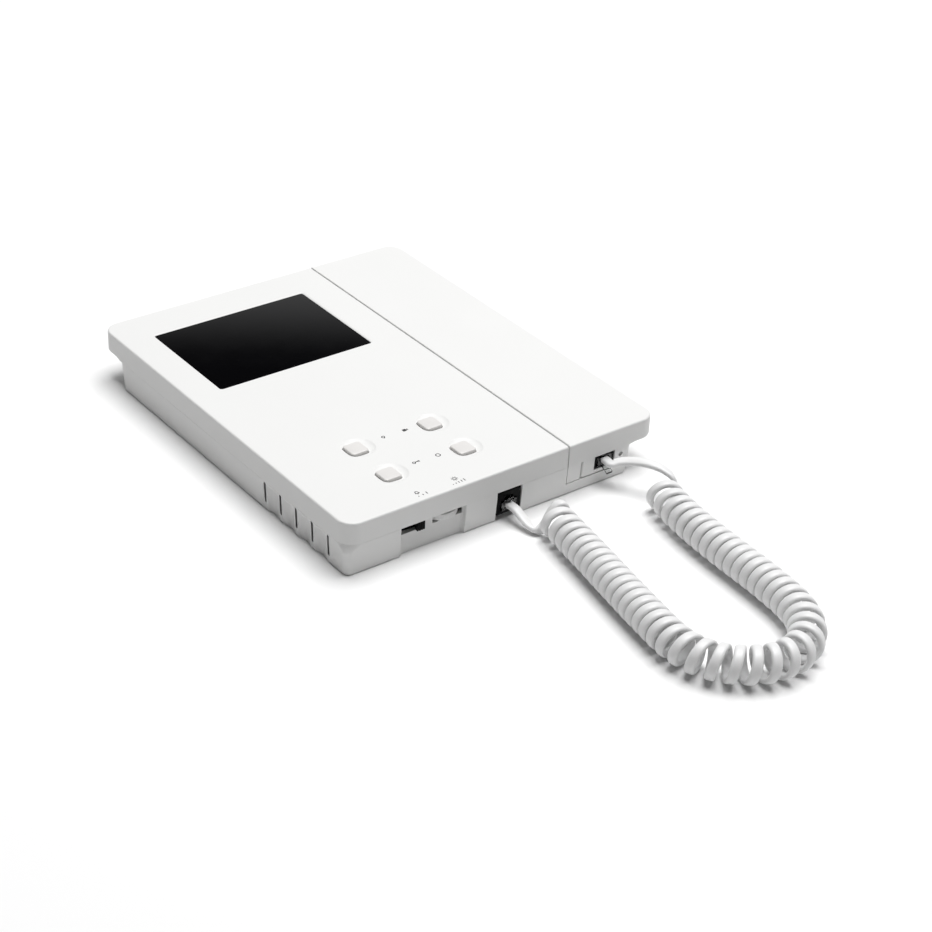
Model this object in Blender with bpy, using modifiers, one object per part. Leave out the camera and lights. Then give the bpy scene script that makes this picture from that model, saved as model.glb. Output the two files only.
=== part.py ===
"""A white video intercom monitor that lies on its back, with its handset in the cradle and a curly cord.

X runs to the handset side, Y to the display end and Z out of the front face. The origin is at the
middle of the rear face. Sizes are real sizes in metres.
"""

import math

import bmesh
import bpy
import numpy as np
from mathutils import Matrix, Vector

MM = 0.001

# Outer form of the monitor
WIDTH = 160 * MM
HEIGHT = 195 * MM
DEPTH = 24 * MM
LIP_DEPTH = 10.2 * MM
LIP_CORNER = 7.5 * MM
EDGE_ROUND = 0.8 * MM
SIDE_OVERHANG = 13 * MM
TOP_OVERHANG = 15.5 * MM
BODY_CORNER = 3 * MM
BLEND_HEIGHT = 1.5 * MM
DRAFT = 0.8 * MM
REAR_CHAMFER = 0.6 * MM
WALL = 2.2 * MM
FLANGE = 1.2 * MM
GAP = 0.3 * MM
SEAM = 0.5 * MM

# Handset and the cradle under it
HANDSET_WIDTH = 48.2 * MM
HANDSET_SKIRT = 7 * MM
HANDSET_WALL = 2 * MM
SHELL_SEAM = 0.5 * MM
SPINE_OFFSET = 1.6 * MM
CRADLE_FLOOR = 5.2 * MM
LOCATOR_HEIGHT = 3 * MM
EAR_LOCATOR = 12 * MM
MOUTH_LOCATOR = 6 * MM
EAR_FROM_TOP = 22 * MM
MOUTH_FROM_END = 37.5 * MM
LOCATOR_PLAY = 0.6 * MM
EAR_HOLE = 1.2 * MM
EAR_HOLE_RING = 5.5 * MM
EAR_HOLES = 6
CORING_DEPTH = 3 * MM
CORING_RIB = 2 * MM
CORING_CELLS = 9

# Screen
SCREEN_HEIGHT = 57 * MM
SCREEN_FROM_LEFT = 15.7 * MM
SCREEN_FROM_SEAM = 17.2 * MM
SCREEN_FROM_TOP = 19.3 * MM
SCREEN_BEVEL = 0.9 * MM
SCREEN_CORNER = 1.2 * MM
SCREEN_SUNK = 1.3 * MM
LENS_FLANGE = 3 * MM
LENS_THICKNESS = 1 * MM
LCD_THICKNESS = 3 * MM
FRAME_WALL = 1.6 * MM
FRAME_FLOOR = 1.5 * MM

# Function buttons
BUTTON = 8.4 * MM
BUTTON_CORNER = 1.4 * MM
BUTTON_PROUD = 0.9 * MM
BUTTON_CROWN = 0.5 * MM
BUTTON_TRAVEL = 0.8 * MM
BUTTON_FLANGE = 1 * MM
BUTTON_FOOT = 0.6 * MM
BUTTONS_FROM_LEFT = 36.1 * MM
BUTTONS_FROM_END = 46.6 * MM
BUTTON_COLUMN_PITCH = 37.5 * MM
BUTTON_ROW_PITCH = 23.4 * MM
BUTTON_NAMES = (("light", "camera"), ("door", "privacy"))
DISH_RADIUS = 7.6 * MM
DISH_DEPTH = 0.5 * MM
DISH_OFFSET = (1.6 * MM, 0.5 * MM)
SWITCH_BODY = 6 * MM
SWITCH_STEM = 1.75 * MM
SWITCH_STEM_HEIGHT = 1 * MM

# Control bay in the lower end wall
BAY_FROM_LEFT = 26.8 * MM
BAY_WIDTH = 31.8 * MM
BAY_DEPTH = 2.4 * MM
BAY_CORNER = 2 * MM
VOLUME_SLOT_WIDTH = 11.9 * MM
VOLUME_KNOB = 3.6 * MM
VOLUME_KNOB_REACH = 1.9 * MM
VOLUME_SWITCH_DEPTH = 6 * MM
LEVER_HEIGHT = 1.6 * MM
LEVER_DROP = 0.8 * MM
KNOB_RISE = 1.1 * MM
WHEEL_SLOT_WIDTH = 14.8 * MM
WHEEL_SLOT_FROM_RIGHT = 0.4 * MM
WHEEL_RADIUS = 8.5 * MM
WHEEL_THICKNESS = 3.4 * MM
WHEEL_PROUD = 1.4 * MM
WHEEL_TEETH = 36
WHEEL_TOOTH = 0.3 * MM
WHEEL_BORE = 1.8 * MM
POT_RADIUS = 4.5 * MM
POT_HEIGHT = 4.4 * MM

# Modular jacks and plugs
BASE_JACK_X = 0.95 * MM
JACK_NOTCH = 12.9 * MM
JACK_LENGTH = 14 * MM
NOTCH_DEPTH = 6 * MM
HANDSET_JACK_FROM_LEFT = 20 * MM
HANDSET_JACK_WIDTH = 11.1 * MM
HANDSET_JACK_DROP = 6.4 * MM
PLUG_WIDTH = 7.6 * MM
PLUG_HEIGHT = 4.2 * MM
PLUG_LENGTH = 11.4 * MM
LATCH_WIDTH = 3.2 * MM
LATCH_THICKNESS = 0.9 * MM
LATCH_LIFT = 0.75 * MM
BASE_LATCH_REACH = 1 * MM
BASE_LATCH_TIP = 1.6 * MM
HANDSET_LATCH_REACH = 3.6 * MM
HANDSET_LATCH_TIP = 2.6 * MM
BASE_CORD_HEIGHT = 6.4 * MM
HANDSET_CORD_DROP = 2.8 * MM

# Vents and flutes in the left wall
VENT_PITCH = 11.6 * MM
VENT_FIRST_FROM_END = 13.1 * MM
VENTS = 5
VENT_WIDTH = 1.1 * MM
VENT_BOTTOM = 3.7 * MM
VENT_DROP = 0.6 * MM
FLUTE_DEPTH = 0.85 * MM
FLUTE_LAND = 1.2 * MM

# Openings in the rear face
CABLE_ENTRY = (48 * MM, 30 * MM)
CABLE_ENTRY_Y = 1 * MM
KEYHOLE_HEAD = 4.5 * MM
KEYHOLE_SLOT = 2.2 * MM
KEYHOLE_DROP = 9 * MM
KEYHOLE_SPREAD = 60 * MM
KEYHOLE_FROM_TOP = 26 * MM
WALL_SCREW_HOLE = 2.2 * MM
WALL_SCREW_FROM_END = 31.5 * MM

# Inside the monitor
BOARD_THICKNESS = 1.6 * MM
BOARD_MARGIN = 1.5 * MM
STANDOFF_RADIUS = 3 * MM
STANDOFF_FROM_SIDE = 17 * MM
STANDOFF_FROM_END = 72 * MM
STANDOFF_FROM_TOP = 40 * MM
POST_RADIUS = 3.6 * MM
SCREW_RADIUS = 1.45 * MM
SCREW_HEAD_RADIUS = 2.8 * MM
SCREW_HEAD = 2.2 * MM
SCREW_SEAT_DROP = 4.2 * MM
SCREW_TIP_DROP = 1.8 * MM
POST_FROM_SIDE = 6.6 * MM
POST_FROM_END = 8.5 * MM
SPEAKER_RADIUS = 18 * MM
SPEAKER_HEIGHT = 8.6 * MM
SPEAKER_FROM_LEFT = 24 * MM
TERMINAL_BLOCK = (40.6 * MM, 9 * MM)
TERMINAL_BOTTOM = 4.8 * MM
TERMINALS = 8
TERMINAL_SCREW = 1.6 * MM
REED_RADIUS = 1.3 * MM
REED_LENGTH = 14 * MM

# Inside the handset
RECEIVER_RADIUS = 12.8 * MM
RECEIVER_HEIGHT = 7 * MM
MICROPHONE_RADIUS = 2.7 * MM
MICROPHONE_LENGTH = 5 * MM
MICROPHONE_FROM_LEFT = 29 * MM
MICROPHONE_DROP = 3.1 * MM
MICROPHONE_HOLE = 1.1 * MM
MAGNET_RADIUS = 3.5 * MM
MAGNET_HEIGHT = 4 * MM
HANDSET_BOARD = (24 * MM, 30 * MM)
HANDSET_SCREW_FROM_EAR = 40 * MM
HANDSET_SCREW_FROM_MOUTH = 15 * MM
HANDSET_SEAT_RISE = 1.1 * MM

# Curly cord: a flat cord wound on a round mandrel
COIL_OUTER = 15.2 * MM
CORD_WIDTH = 4.35 * MM
CORD_THICKNESS = 2.4 * MM
CORD_FLAT = 2.7 * MM
CURL_GAP = 0.52 * MM
END_SLACK = 0.6
END_SLACK_RUN = 10 * MM
CURL_POINTS = 10
COIL_AXIS = (
    (10.4, -108.0), (8.8, -116.0), (6.5, -130.0), (3.0, -150.0), (-1.5, -173.0), (-5.4, -196.0),
    (-7.6, -211.0), (-4.6, -224.5), (6.0, -236.0), (21.5, -241.0), (36.0, -237.0), (46.5, -224.0),
    (49.4, -207.0), (50.6, -190.0), (51.4, -170.0), (53.2, -151.0), (55.8, -136.0), (59.2, -125.0),
    (62.6, -114.5),
)
BASE_TAIL = (
    ((0.95, -102.3, 6.2), (0, 0, -1)),
    ((1.2, -106.6, 4.2), (-0.1, 0, -1)),
    ((1.6, -111.0, 2.4), (-0.4, -0.1, -0.9)),
    ((2.8, -114.3, 2.0), (-0.7, -0.3, -0.6)),
    ((4.9, -115.7, 4.8), (-0.95, -0.1, 0)),
    ((7.1, -116.1, 9.3), (-0.9, 0, 0.4)),
    ((9.8, -116.6, 13.0), (-0.4, 0, 0.9)),
    ((12.7, -117.8, 13.4), (0.6, 0, 0.8)),
)
HANDSET_TAIL = (
    ((65.3, -125.6, 11.6), (0.75, -0.3, 0.5)),
    ((64.6, -122.6, 13.4), (0.3, -0.45, 0.85)),
    ((63.2, -118.0, 14.2), (0, -0.5, 0.86)),
    ((60.8, -112.8, 14.2), (-0.15, -0.5, 0.85)),
    ((57.4, -107.6, 13.4), (-0.2, -0.45, 0.87)),
    ((54.0, -103.8, 12.2), (-0.1, -0.2, 0.97)),
)
TAIL_STEP = 2.4 * MM

# Places that follow from the sizes above
LEFT = -WIDTH / 2
RIGHT = WIDTH / 2
LOWER_END = -HEIGHT / 2
UPPER_END = HEIGHT / 2
PARTING = DEPTH - LIP_DEPTH
HANDSET_LEFT = RIGHT - HANDSET_WIDTH
COVER_RIGHT = HANDSET_LEFT - SEAM
BODY_RIGHT = RIGHT - SIDE_OVERHANG
BODY_TOP = UPPER_END - TOP_OVERHANG
PLATE_UNDERSIDE = DEPTH - WALL
BAY_WALL = LOWER_END + BAY_DEPTH
LENS_TOP = PLATE_UNDERSIDE - GAP
LCD_TOP = LENS_TOP - LENS_THICKNESS - GAP
FRAME_BOTTOM = LCD_TOP - LCD_THICKNESS - GAP - FRAME_FLOOR
BOARD_TOP = FRAME_BOTTOM - 2 * GAP
BOARD_BOTTOM = BOARD_TOP - BOARD_THICKNESS
MONITOR_MIDDLE = (LEFT + COVER_RIGHT) / 2
CABLE_ENTRY_AT = (MONITOR_MIDDLE, CABLE_ENTRY_Y)
WALL_SCREW_AT = (MONITOR_MIDDLE, LOWER_END + WALL_SCREW_FROM_END)
KEYHOLES_AT = tuple(
    (MONITOR_MIDDLE + side * KEYHOLE_SPREAD / 2, BODY_TOP - KEYHOLE_FROM_TOP) for side in (-1, 1)
)
STANDOFFS_AT = tuple(
    (x, y)
    for x in (LEFT + STANDOFF_FROM_SIDE, COVER_RIGHT - STANDOFF_FROM_SIDE)
    for y in (LOWER_END + STANDOFF_FROM_END, BODY_TOP - STANDOFF_FROM_TOP)
)
BUTTON_COLUMNS = [LEFT + BUTTONS_FROM_LEFT + BUTTON_COLUMN_PITCH * i for i in range(2)]
BUTTON_ROWS = [LOWER_END + BUTTONS_FROM_END - BUTTON_ROW_PITCH * i for i in range(2)]
BAY_LEFT = LEFT + BAY_FROM_LEFT
BAY_RIGHT = BAY_LEFT + BAY_WIDTH
VENT_TOP = PARTING - VENT_DROP
SCREW_SEAT = BOARD_BOTTOM - SCREW_SEAT_DROP
SCREW_TIP = PLATE_UNDERSIDE - SCREW_TIP_DROP
HANDSET_BOTTOM = CRADLE_FLOOR + GAP
HANDSET_FLOOR = HANDSET_BOTTOM + HANDSET_WALL
HANDSET_SPINE = HANDSET_LEFT + (HANDSET_WIDTH - SIDE_OVERHANG) / 2 + SPINE_OFFSET
HANDSET_JACK_X = HANDSET_LEFT + HANDSET_JACK_FROM_LEFT
HANDSET_CORD_HEIGHT = PARTING - HANDSET_CORD_DROP
HANDSET_SCREW_SEAT = HANDSET_FLOOR + HANDSET_SEAT_RISE
MICROPHONE_AT = (HANDSET_LEFT + MICROPHONE_FROM_LEFT, PARTING - MICROPHONE_DROP)
SCREEN_LEFT = LEFT + SCREEN_FROM_LEFT
SCREEN_RIGHT = COVER_RIGHT - SCREEN_FROM_SEAM
SCREEN_TOP = UPPER_END - SCREEN_FROM_TOP
SCREEN_BOTTOM = SCREEN_TOP - SCREEN_HEIGHT
LCD_LOW = (SCREEN_LEFT - LENS_FLANGE, SCREEN_BOTTOM - LENS_FLANGE)
LCD_HIGH = (SCREEN_RIGHT + LENS_FLANGE, SCREEN_TOP + LENS_FLANGE)
FRAME_LOW = (LCD_LOW[0] - GAP - FRAME_WALL, LCD_LOW[1] - GAP - FRAME_WALL, FRAME_BOTTOM)
FRAME_HIGH = (LCD_HIGH[0] + GAP + FRAME_WALL, LCD_HIGH[1] + GAP + FRAME_WALL, LCD_TOP - LCD_THICKNESS / 2)
POSTS_AT = tuple(
    (x, y)
    for x in (LEFT + POST_FROM_SIDE, COVER_RIGHT - POST_FROM_SIDE)
    for y in (LOWER_END + POST_FROM_END, BODY_TOP - POST_FROM_END)
)
VENT_YS = [LOWER_END + VENT_FIRST_FROM_END + VENT_PITCH * i for i in range(VENTS)]
WHEEL_AT = (
    BAY_RIGHT - WHEEL_SLOT_FROM_RIGHT - WHEEL_SLOT_WIDTH / 2, BAY_WALL - WHEEL_PROUD + WHEEL_RADIUS
)
WHEEL_TOP = BOARD_BOTTOM - GAP
WHEEL_BOTTOM = WHEEL_TOP - WHEEL_THICKNESS
LEVER_TOP = WHEEL_TOP - LEVER_DROP
LEVER_BOTTOM = LEVER_TOP - LEVER_HEIGHT
KNOB_BOTTOM = LEVER_BOTTOM - KNOB_RISE
VOLUME_RIGHT = BAY_LEFT + VOLUME_SLOT_WIDTH
EAR_AT = (HANDSET_SPINE, BODY_TOP - EAR_FROM_TOP)
MOUTH_AT = (HANDSET_SPINE, LOWER_END + MOUTH_FROM_END)
HANDSET_SCREWS_AT = (
    (HANDSET_SPINE, EAR_AT[1] - HANDSET_SCREW_FROM_EAR),
    (HANDSET_SPINE, MOUTH_AT[1] + HANDSET_SCREW_FROM_MOUTH)
)
ROUND_STEPS = 6
FAR = 20 * MM

for old in list(bpy.data.objects):
    bpy.data.objects.remove(old, do_unlink=True)

parts = bpy.data.collections.new("video_intercom_monitor")
cutters = bpy.data.collections.new("cutters")
bpy.context.scene.collection.children.link(parts)
bpy.context.scene.collection.children.link(cutters)


def material(name, colour, roughness, metallic=0.0):
    made = bpy.data.materials.new(name)
    made.use_nodes = True
    shader = made.node_tree.nodes["Principled BSDF"]
    shader.inputs["Base Color"].default_value = (*colour, 1)
    shader.inputs["Roughness"].default_value = roughness
    shader.inputs["Metallic"].default_value = metallic
    return made


WHITE_ABS = material("white_abs", (0.86, 0.86, 0.85), 0.42)
BUTTON_WHITE = material("button_white", (0.80, 0.79, 0.78), 0.35)
BLACK_PLASTIC = material("black_plastic", (0.012, 0.012, 0.013), 0.45)
DARK_ACRYLIC = material("dark_acrylic", (0.006, 0.006, 0.007), 0.08)
CLEAR_PLASTIC = material("clear_plastic", (0.62, 0.63, 0.62), 0.12)
CORD_PVC = material("cord_pvc", (0.82, 0.82, 0.82), 0.38)
CIRCUIT_BOARD = material("circuit_board", (0.02, 0.16, 0.06), 0.5)
STEEL = material("zinc_steel", (0.62, 0.62, 0.60), 0.32, 1.0)
FERRITE = material("ferrite", (0.05, 0.05, 0.055), 0.6)
TERMINAL_GREEN = material("terminal_green", (0.03, 0.25, 0.09), 0.5)
GLASS = material("reed_glass", (0.35, 0.5, 0.42), 0.1)


def add_object(name, shape, finish=None):
    """Turns a bmesh into an object. With no finish it is a cutter."""
    bmesh.ops.recalc_face_normals(shape, faces=shape.faces)
    mesh = bpy.data.meshes.new(name)
    shape.to_mesh(mesh)
    shape.free()
    made = bpy.data.objects.new(name, mesh)
    if finish is None:
        cutters.objects.link(made)
        made.hide_render = True
        made.display_type = "WIRE"
        return made
    parts.objects.link(made)
    mesh.materials.append(finish)
    mesh.shade_smooth()
    mesh.set_sharp_from_angle(angle=math.radians(35))
    return made


def rounded(low, high, radii, steps=ROUND_STEPS):
    """Outline of a rectangle with its own radius at each corner, anticlockwise from the lower left one."""
    corners = (
        (low[0], low[1], 1, 1), (high[0], low[1], -1, 1),
        (high[0], high[1], -1, -1), (low[0], high[1], 1, -1),
    )
    points = []
    for quarter, ((x, y, in_x, in_y), radius) in enumerate(zip(corners, radii)):
        for step in range(steps + 1):
            angle = math.pi + (quarter + step / steps) * math.pi / 2
            across, along = in_x + math.cos(angle), in_y + math.sin(angle)
            points.append((x + radius * across, y + radius * along))
    return points


def box_outline(low, high):
    return [(low[0], low[1]), (high[0], low[1]), (high[0], high[1]), (low[0], high[1])]


def slab(name, outline, bottom, top, finish=None, axis="Z"):
    """A flat outline raised along Z, or along X or Y, where the outline is then read as (Y, Z) or (X, Z)."""
    shape = bmesh.new()
    place = {
        "Z": lambda a, b: (a, b, bottom), "X": lambda a, b: (bottom, a, b), "Y": lambda a, b: (a, bottom, b),
    }
    face = shape.faces.new([shape.verts.new(place[axis](a, b)) for a, b in outline])
    raised = bmesh.ops.extrude_face_region(shape, geom=[face])["geom"]
    way = {"Z": (0, 0, 1), "X": (1, 0, 0), "Y": (0, 1, 0)}[axis]
    moved = [item for item in raised if isinstance(item, bmesh.types.BMVert)]
    bmesh.ops.translate(shape, vec=Vector(way) * (top - bottom), verts=moved)
    return add_object(name, shape, finish)


def block(name, low, high, finish=None):
    return slab(name, box_outline(low, high), low[2], high[2], finish)


def disc(name, centre, radius, bottom, top, finish=None, axis="Z", sides=24):
    shape = bmesh.new()
    bmesh.ops.create_cone(
        shape, cap_ends=True, segments=sides, radius1=radius, radius2=radius, depth=top - bottom
    )
    quarter = math.pi / 2
    turn = {"Z": Matrix(), "Y": Matrix.Rotation(quarter, 4, "X"), "X": Matrix.Rotation(quarter, 4, "Y")}[axis]
    middle = (bottom + top) / 2
    spot = {"Z": (*centre, middle), "Y": (centre[0], middle, centre[1]), "X": (middle, *centre)}[axis]
    shape.transform(Matrix.Translation(spot) @ turn)
    return add_object(name, shape, finish)


def loft(name, rings, finish=None):
    """A closed skin through rings that have the same number of points."""
    shape = bmesh.new()
    loops = [[shape.verts.new(point) for point in ring] for ring in rings]
    for lower, upper in zip(loops, loops[1:]):
        for i in range(len(lower)):
            shape.faces.new((lower[i - 1], lower[i], upper[i], upper[i - 1]))
    shape.faces.new(loops[0])
    shape.faces.new(loops[-1])
    return add_object(name, shape, finish)


def turned(name, profile, centre, finish, steps=24):
    """A profile of (radius, height) points, top to bottom, turned about an upright axis."""
    shape = bmesh.new()
    points = [shape.verts.new((radius, 0, height)) for radius, height in profile]
    for first, second in zip(points, points[1:]):
        shape.edges.new((first, second))
    made = add_object(name, shape, finish)
    made.location = (*centre, 0)
    screw = made.modifiers.new("turn", "SCREW")
    screw.steps = steps
    screw.render_steps = steps
    screw.use_merge_vertices = True
    screw.merge_threshold = 0.01 * MM
    return made


def combine(target, tools, operation):
    """One Boolean with a whole group of tools, which stay in their own collection."""
    group = bpy.data.collections.new(f"{target.name}_{operation.lower()}_{len(target.modifiers)}")
    cutters.children.link(group)
    for tool in tools:
        cutters.objects.unlink(tool)
        group.objects.link(tool)
    group.hide_render = True
    boolean = target.modifiers.new(operation.lower(), "BOOLEAN")
    boolean.operation = operation
    boolean.operand_type = "COLLECTION"
    boolean.collection = group
    boolean.solver = "EXACT"


def lid(name, low, high, radii, bottom, finish):
    """A plate whose front edge is rounded by EDGE_ROUND all the way round."""
    rings = [(bottom, 0)]
    for step in range(4):
        angle = step * math.pi / 6
        rings.append((DEPTH - EDGE_ROUND * (1 - math.sin(angle)), EDGE_ROUND * (1 - math.cos(angle))))
    outlines = []
    for height, inset in rings:
        inner_low = (low[0] + inset, low[1] + inset)
        inner_high = (high[0] - inset, high[1] - inset)
        outline = rounded(inner_low, inner_high, [max(radius - inset, GAP / 2) for radius in radii])
        outlines.append([(x, y, height) for x, y in outline])
    return loft(name, outlines, finish)


def hang_on(target, anchor):
    """Puts the object's origin on its joint's axis and leaves its shape where it is."""
    target.data.transform(Matrix.Translation(-(Vector(anchor) - target.location)))
    target.location = anchor


def pan_screw(name, centre, seat):
    """A pan-head screw driven from the rear, its head under the seat."""
    head_top = seat - GAP
    profile = (
        (0, SCREW_TIP), (SCREW_RADIUS, SCREW_TIP - SCREW_RADIUS), (SCREW_RADIUS, head_top),
        (SCREW_HEAD_RADIUS, head_top), (SCREW_HEAD_RADIUS, head_top - SCREW_HEAD * 0.6),
        (SCREW_HEAD_RADIUS * 0.7, head_top - SCREW_HEAD), (0, head_top - SCREW_HEAD),
    )
    return turned(name, profile, centre, STEEL, steps=12)


# Rear housing: a drafted tray whose end wall, left wall and cradle side are flush with the lip
def body_ring(height, inset, near_corner):
    low = (LEFT + inset, LOWER_END + inset)
    high = (BODY_RIGHT - inset, BODY_TOP - inset)
    radii = (near_corner, BODY_CORNER, BODY_CORNER, BODY_CORNER)
    return [(x, y, height) for x, y in rounded(low, high, radii)]


HOUSING_TOP = PARTING - GAP / 2
rear_housing = loft(
    "rear_housing",
    (
        body_ring(0, DRAFT + REAR_CHAMFER, BODY_CORNER),
        body_ring(REAR_CHAMFER, DRAFT, BODY_CORNER),
        body_ring(HOUSING_TOP - BLEND_HEIGHT, DRAFT * 0.1, BODY_CORNER),
        body_ring(HOUSING_TOP, 0, LIP_CORNER),
    ),
    WHITE_ABS,
)
INNER_CORNER = LIP_CORNER - WALL
cavity_top = BODY_TOP - DRAFT - WALL
cavity_right = COVER_RIGHT - WALL
combine(
    rear_housing,
    [
        slab(
            "cavity",
            rounded(
                (LEFT + DRAFT + WALL, BAY_WALL + WALL), (cavity_right, cavity_top),
                (INNER_CORNER, BODY_CORNER, BODY_CORNER, BODY_CORNER),
            ),
            WALL, DEPTH,
        ),
        slab(
            "cavity_left_of_bay",
            rounded(
                (LEFT + DRAFT + WALL, LOWER_END + DRAFT + WALL), (BAY_LEFT - WALL, BAY_WALL + FAR),
                (INNER_CORNER, BODY_CORNER, BODY_CORNER, BODY_CORNER),
            ),
            WALL, DEPTH,
        ),
        block(
            "cavity_right_of_bay",
            (BAY_RIGHT + WALL, LOWER_END + DRAFT + WALL, WALL), (cavity_right, BAY_WALL + FAR, DEPTH),
        ),
        block("cradle_space", (COVER_RIGHT, LOWER_END - FAR, CRADLE_FLOOR), (RIGHT, UPPER_END, DEPTH)),
    ],
    "DIFFERENCE",
)
flange_bottom = PARTING + GAP / 2
flange_end = UPPER_END - WALL - GAP
wall_back = BODY_TOP - DRAFT
standoffs = [
    disc(f"standoff_{i}", centre, STANDOFF_RADIUS, WALL / 2, BOARD_BOTTOM - GAP)
    for i, centre in enumerate(STANDOFFS_AT)
]
posts = [
    disc(f"post_{i}", centre, POST_RADIUS, WALL / 2, BOARD_TOP - GAP) for i, centre in enumerate(POSTS_AT)
]
combine(
    rear_housing,
    standoffs
    + posts
    + [
        disc("pot_boss", WHEEL_AT, POT_RADIUS, WALL / 2, WHEEL_BOTTOM - POT_HEIGHT - 2 * GAP),
        disc("ear_locator", EAR_AT, EAR_LOCATOR, CORING_DEPTH, CRADLE_FLOOR + LOCATOR_HEIGHT),
        disc("mouth_locator", MOUTH_AT, MOUTH_LOCATOR, CORING_DEPTH, CRADLE_FLOOR + LOCATOR_HEIGHT),
        block(
            "overhang_neck",
            (LEFT + WALL + GAP, wall_back - WALL, HOUSING_TOP - FLANGE),
            (COVER_RIGHT - WALL - GAP, wall_back - GAP, flange_bottom + FLANGE),
        ),
        slab(
            "overhang_floor",
            rounded(
                (LEFT + WALL + GAP, wall_back - WALL), (COVER_RIGHT - WALL - GAP, flange_end),
                (GAP, GAP, GAP, INNER_CORNER)
            ),
            flange_bottom, flange_bottom + FLANGE,
        ),
    ],
    "UNION",
)


def keyhole(name, centre):
    """A round head opening with a slot above it, as one outline."""
    spread = math.asin(KEYHOLE_SLOT / KEYHOLE_HEAD)
    turn = 2 * math.pi - 2 * spread
    start = math.pi / 2 + spread
    head = [start + turn * i / 18 for i in range(19)]
    points = [(centre[0] + KEYHOLE_HEAD * math.cos(a), centre[1] + KEYHOLE_HEAD * math.sin(a)) for a in head]
    tip = [math.pi * i / 8 for i in range(9)]
    points += [
        (centre[0] + KEYHOLE_SLOT * math.cos(a), centre[1] + KEYHOLE_DROP + KEYHOLE_SLOT * math.sin(a))
        for a in tip
    ]
    return slab(name, points, -WALL, 2 * WALL)


openings = [keyhole(f"keyhole_{i}", centre) for i, centre in enumerate(KEYHOLES_AT)]

# Room for the pieces that would meet the walls in a thicker or taller housing
openings.append(
    block(
        "frame_room",
        (FRAME_LOW[0] - GAP, FRAME_LOW[1] - GAP, FRAME_BOTTOM - GAP / 2),
        (FRAME_HIGH[0] + GAP, FRAME_HIGH[1] + GAP, DEPTH),
    )
)
openings.append(disc("pot_room", WHEEL_AT, POT_RADIUS + GAP, WHEEL_BOTTOM - POT_HEIGHT - 2 * GAP, WHEEL_TOP))
for i, centre in enumerate(POSTS_AT):
    openings.append(disc(f"boss_room_{i}", centre, POST_RADIUS + GAP, BOARD_TOP - GAP / 2, DEPTH))

# Wall fixings, cable entry and the screws' wells and holes
openings.append(disc("wall_screw_hole", WALL_SCREW_AT, WALL_SCREW_HOLE, -WALL, 2 * WALL))
entry_x, entry_y = CABLE_ENTRY_AT
openings.append(
    slab(
        "cable_entry",
        rounded(
            (entry_x - CABLE_ENTRY[0] / 2, entry_y - CABLE_ENTRY[1] / 2),
            (entry_x + CABLE_ENTRY[0] / 2, entry_y + CABLE_ENTRY[1] / 2),
            (BODY_CORNER,) * 4,
        ),
        -WALL, 2 * WALL,
    )
)
for i, centre in enumerate(POSTS_AT):
    openings.append(disc(f"screw_well_{i}", centre, SCREW_HEAD_RADIUS + GAP, -WALL, SCREW_SEAT, sides=16))
    openings.append(disc(f"screw_hole_{i}", centre, SCREW_RADIUS + GAP, SCREW_SEAT - GAP, DEPTH, sides=12))

# Vent slots stand on the ridges between shallow flutes
for i, y in enumerate(VENT_YS):
    openings.append(
        block(
            f"vent_{i}", (LEFT - WALL, y - VENT_WIDTH / 2, VENT_BOTTOM),
            (LEFT + 2 * WALL, y + VENT_WIDTH / 2, VENT_TOP)
        )
    )
flute_half = (VENT_PITCH - FLUTE_LAND) / 2
flute_radius = (flute_half**2 + FLUTE_DEPTH**2) / (2 * FLUTE_DEPTH)
for i, (near, far) in enumerate(zip(VENT_YS, VENT_YS[1:])):
    centre = (LEFT + DRAFT * 0.4 + FLUTE_DEPTH - flute_radius, (near + far) / 2)
    openings.append(disc(f"flute_{i}", centre, flute_radius, -WALL, VENT_TOP, sides=64))

# Control bay, its two slots and the jack notch, all open to the upper edge of the wall
openings += [
    slab(
        "bay",
        rounded((BAY_LEFT, LOWER_END - FAR), (BAY_RIGHT, BAY_WALL), (GAP, GAP, BAY_CORNER, BAY_CORNER)),
        -WALL, DEPTH,
    ),
    block(
        "volume_slot",
        (BAY_LEFT, LOWER_END, KNOB_BOTTOM - GAP), (VOLUME_RIGHT, BAY_WALL + 2 * WALL, DEPTH),
    ),
    block(
        "wheel_slot",
        (WHEEL_AT[0] - WHEEL_SLOT_WIDTH / 2, LOWER_END, WHEEL_BOTTOM - GAP),
        (WHEEL_AT[0] + WHEEL_SLOT_WIDTH / 2, BAY_WALL + 2 * WALL, DEPTH),
    ),
    block(
        "jack_notch",
        (BASE_JACK_X - JACK_NOTCH / 2, LOWER_END - FAR, -WALL),
        (BASE_JACK_X + JACK_NOTCH / 2, LOWER_END + NOTCH_DEPTH, DEPTH),
    ),
]

# The solid cradle floor is cored out from the rear, with ribs between the cells
coring_low = (COVER_RIGHT + CORING_RIB, LOWER_END + WALL + DRAFT)
coring_high = (BODY_RIGHT - DRAFT - WALL, BODY_TOP - WALL - DRAFT)
cell = (coring_high[1] - coring_low[1] + CORING_RIB) / CORING_CELLS
for i in range(CORING_CELLS):
    start = coring_low[1] + cell * i
    openings.append(
        block(
            f"coring_{i}",
            (coring_low[0], start, -WALL), (coring_high[0], start + cell - CORING_RIB, CORING_DEPTH),
        )
    )
combine(rear_housing, openings, "DIFFERENCE")

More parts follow.
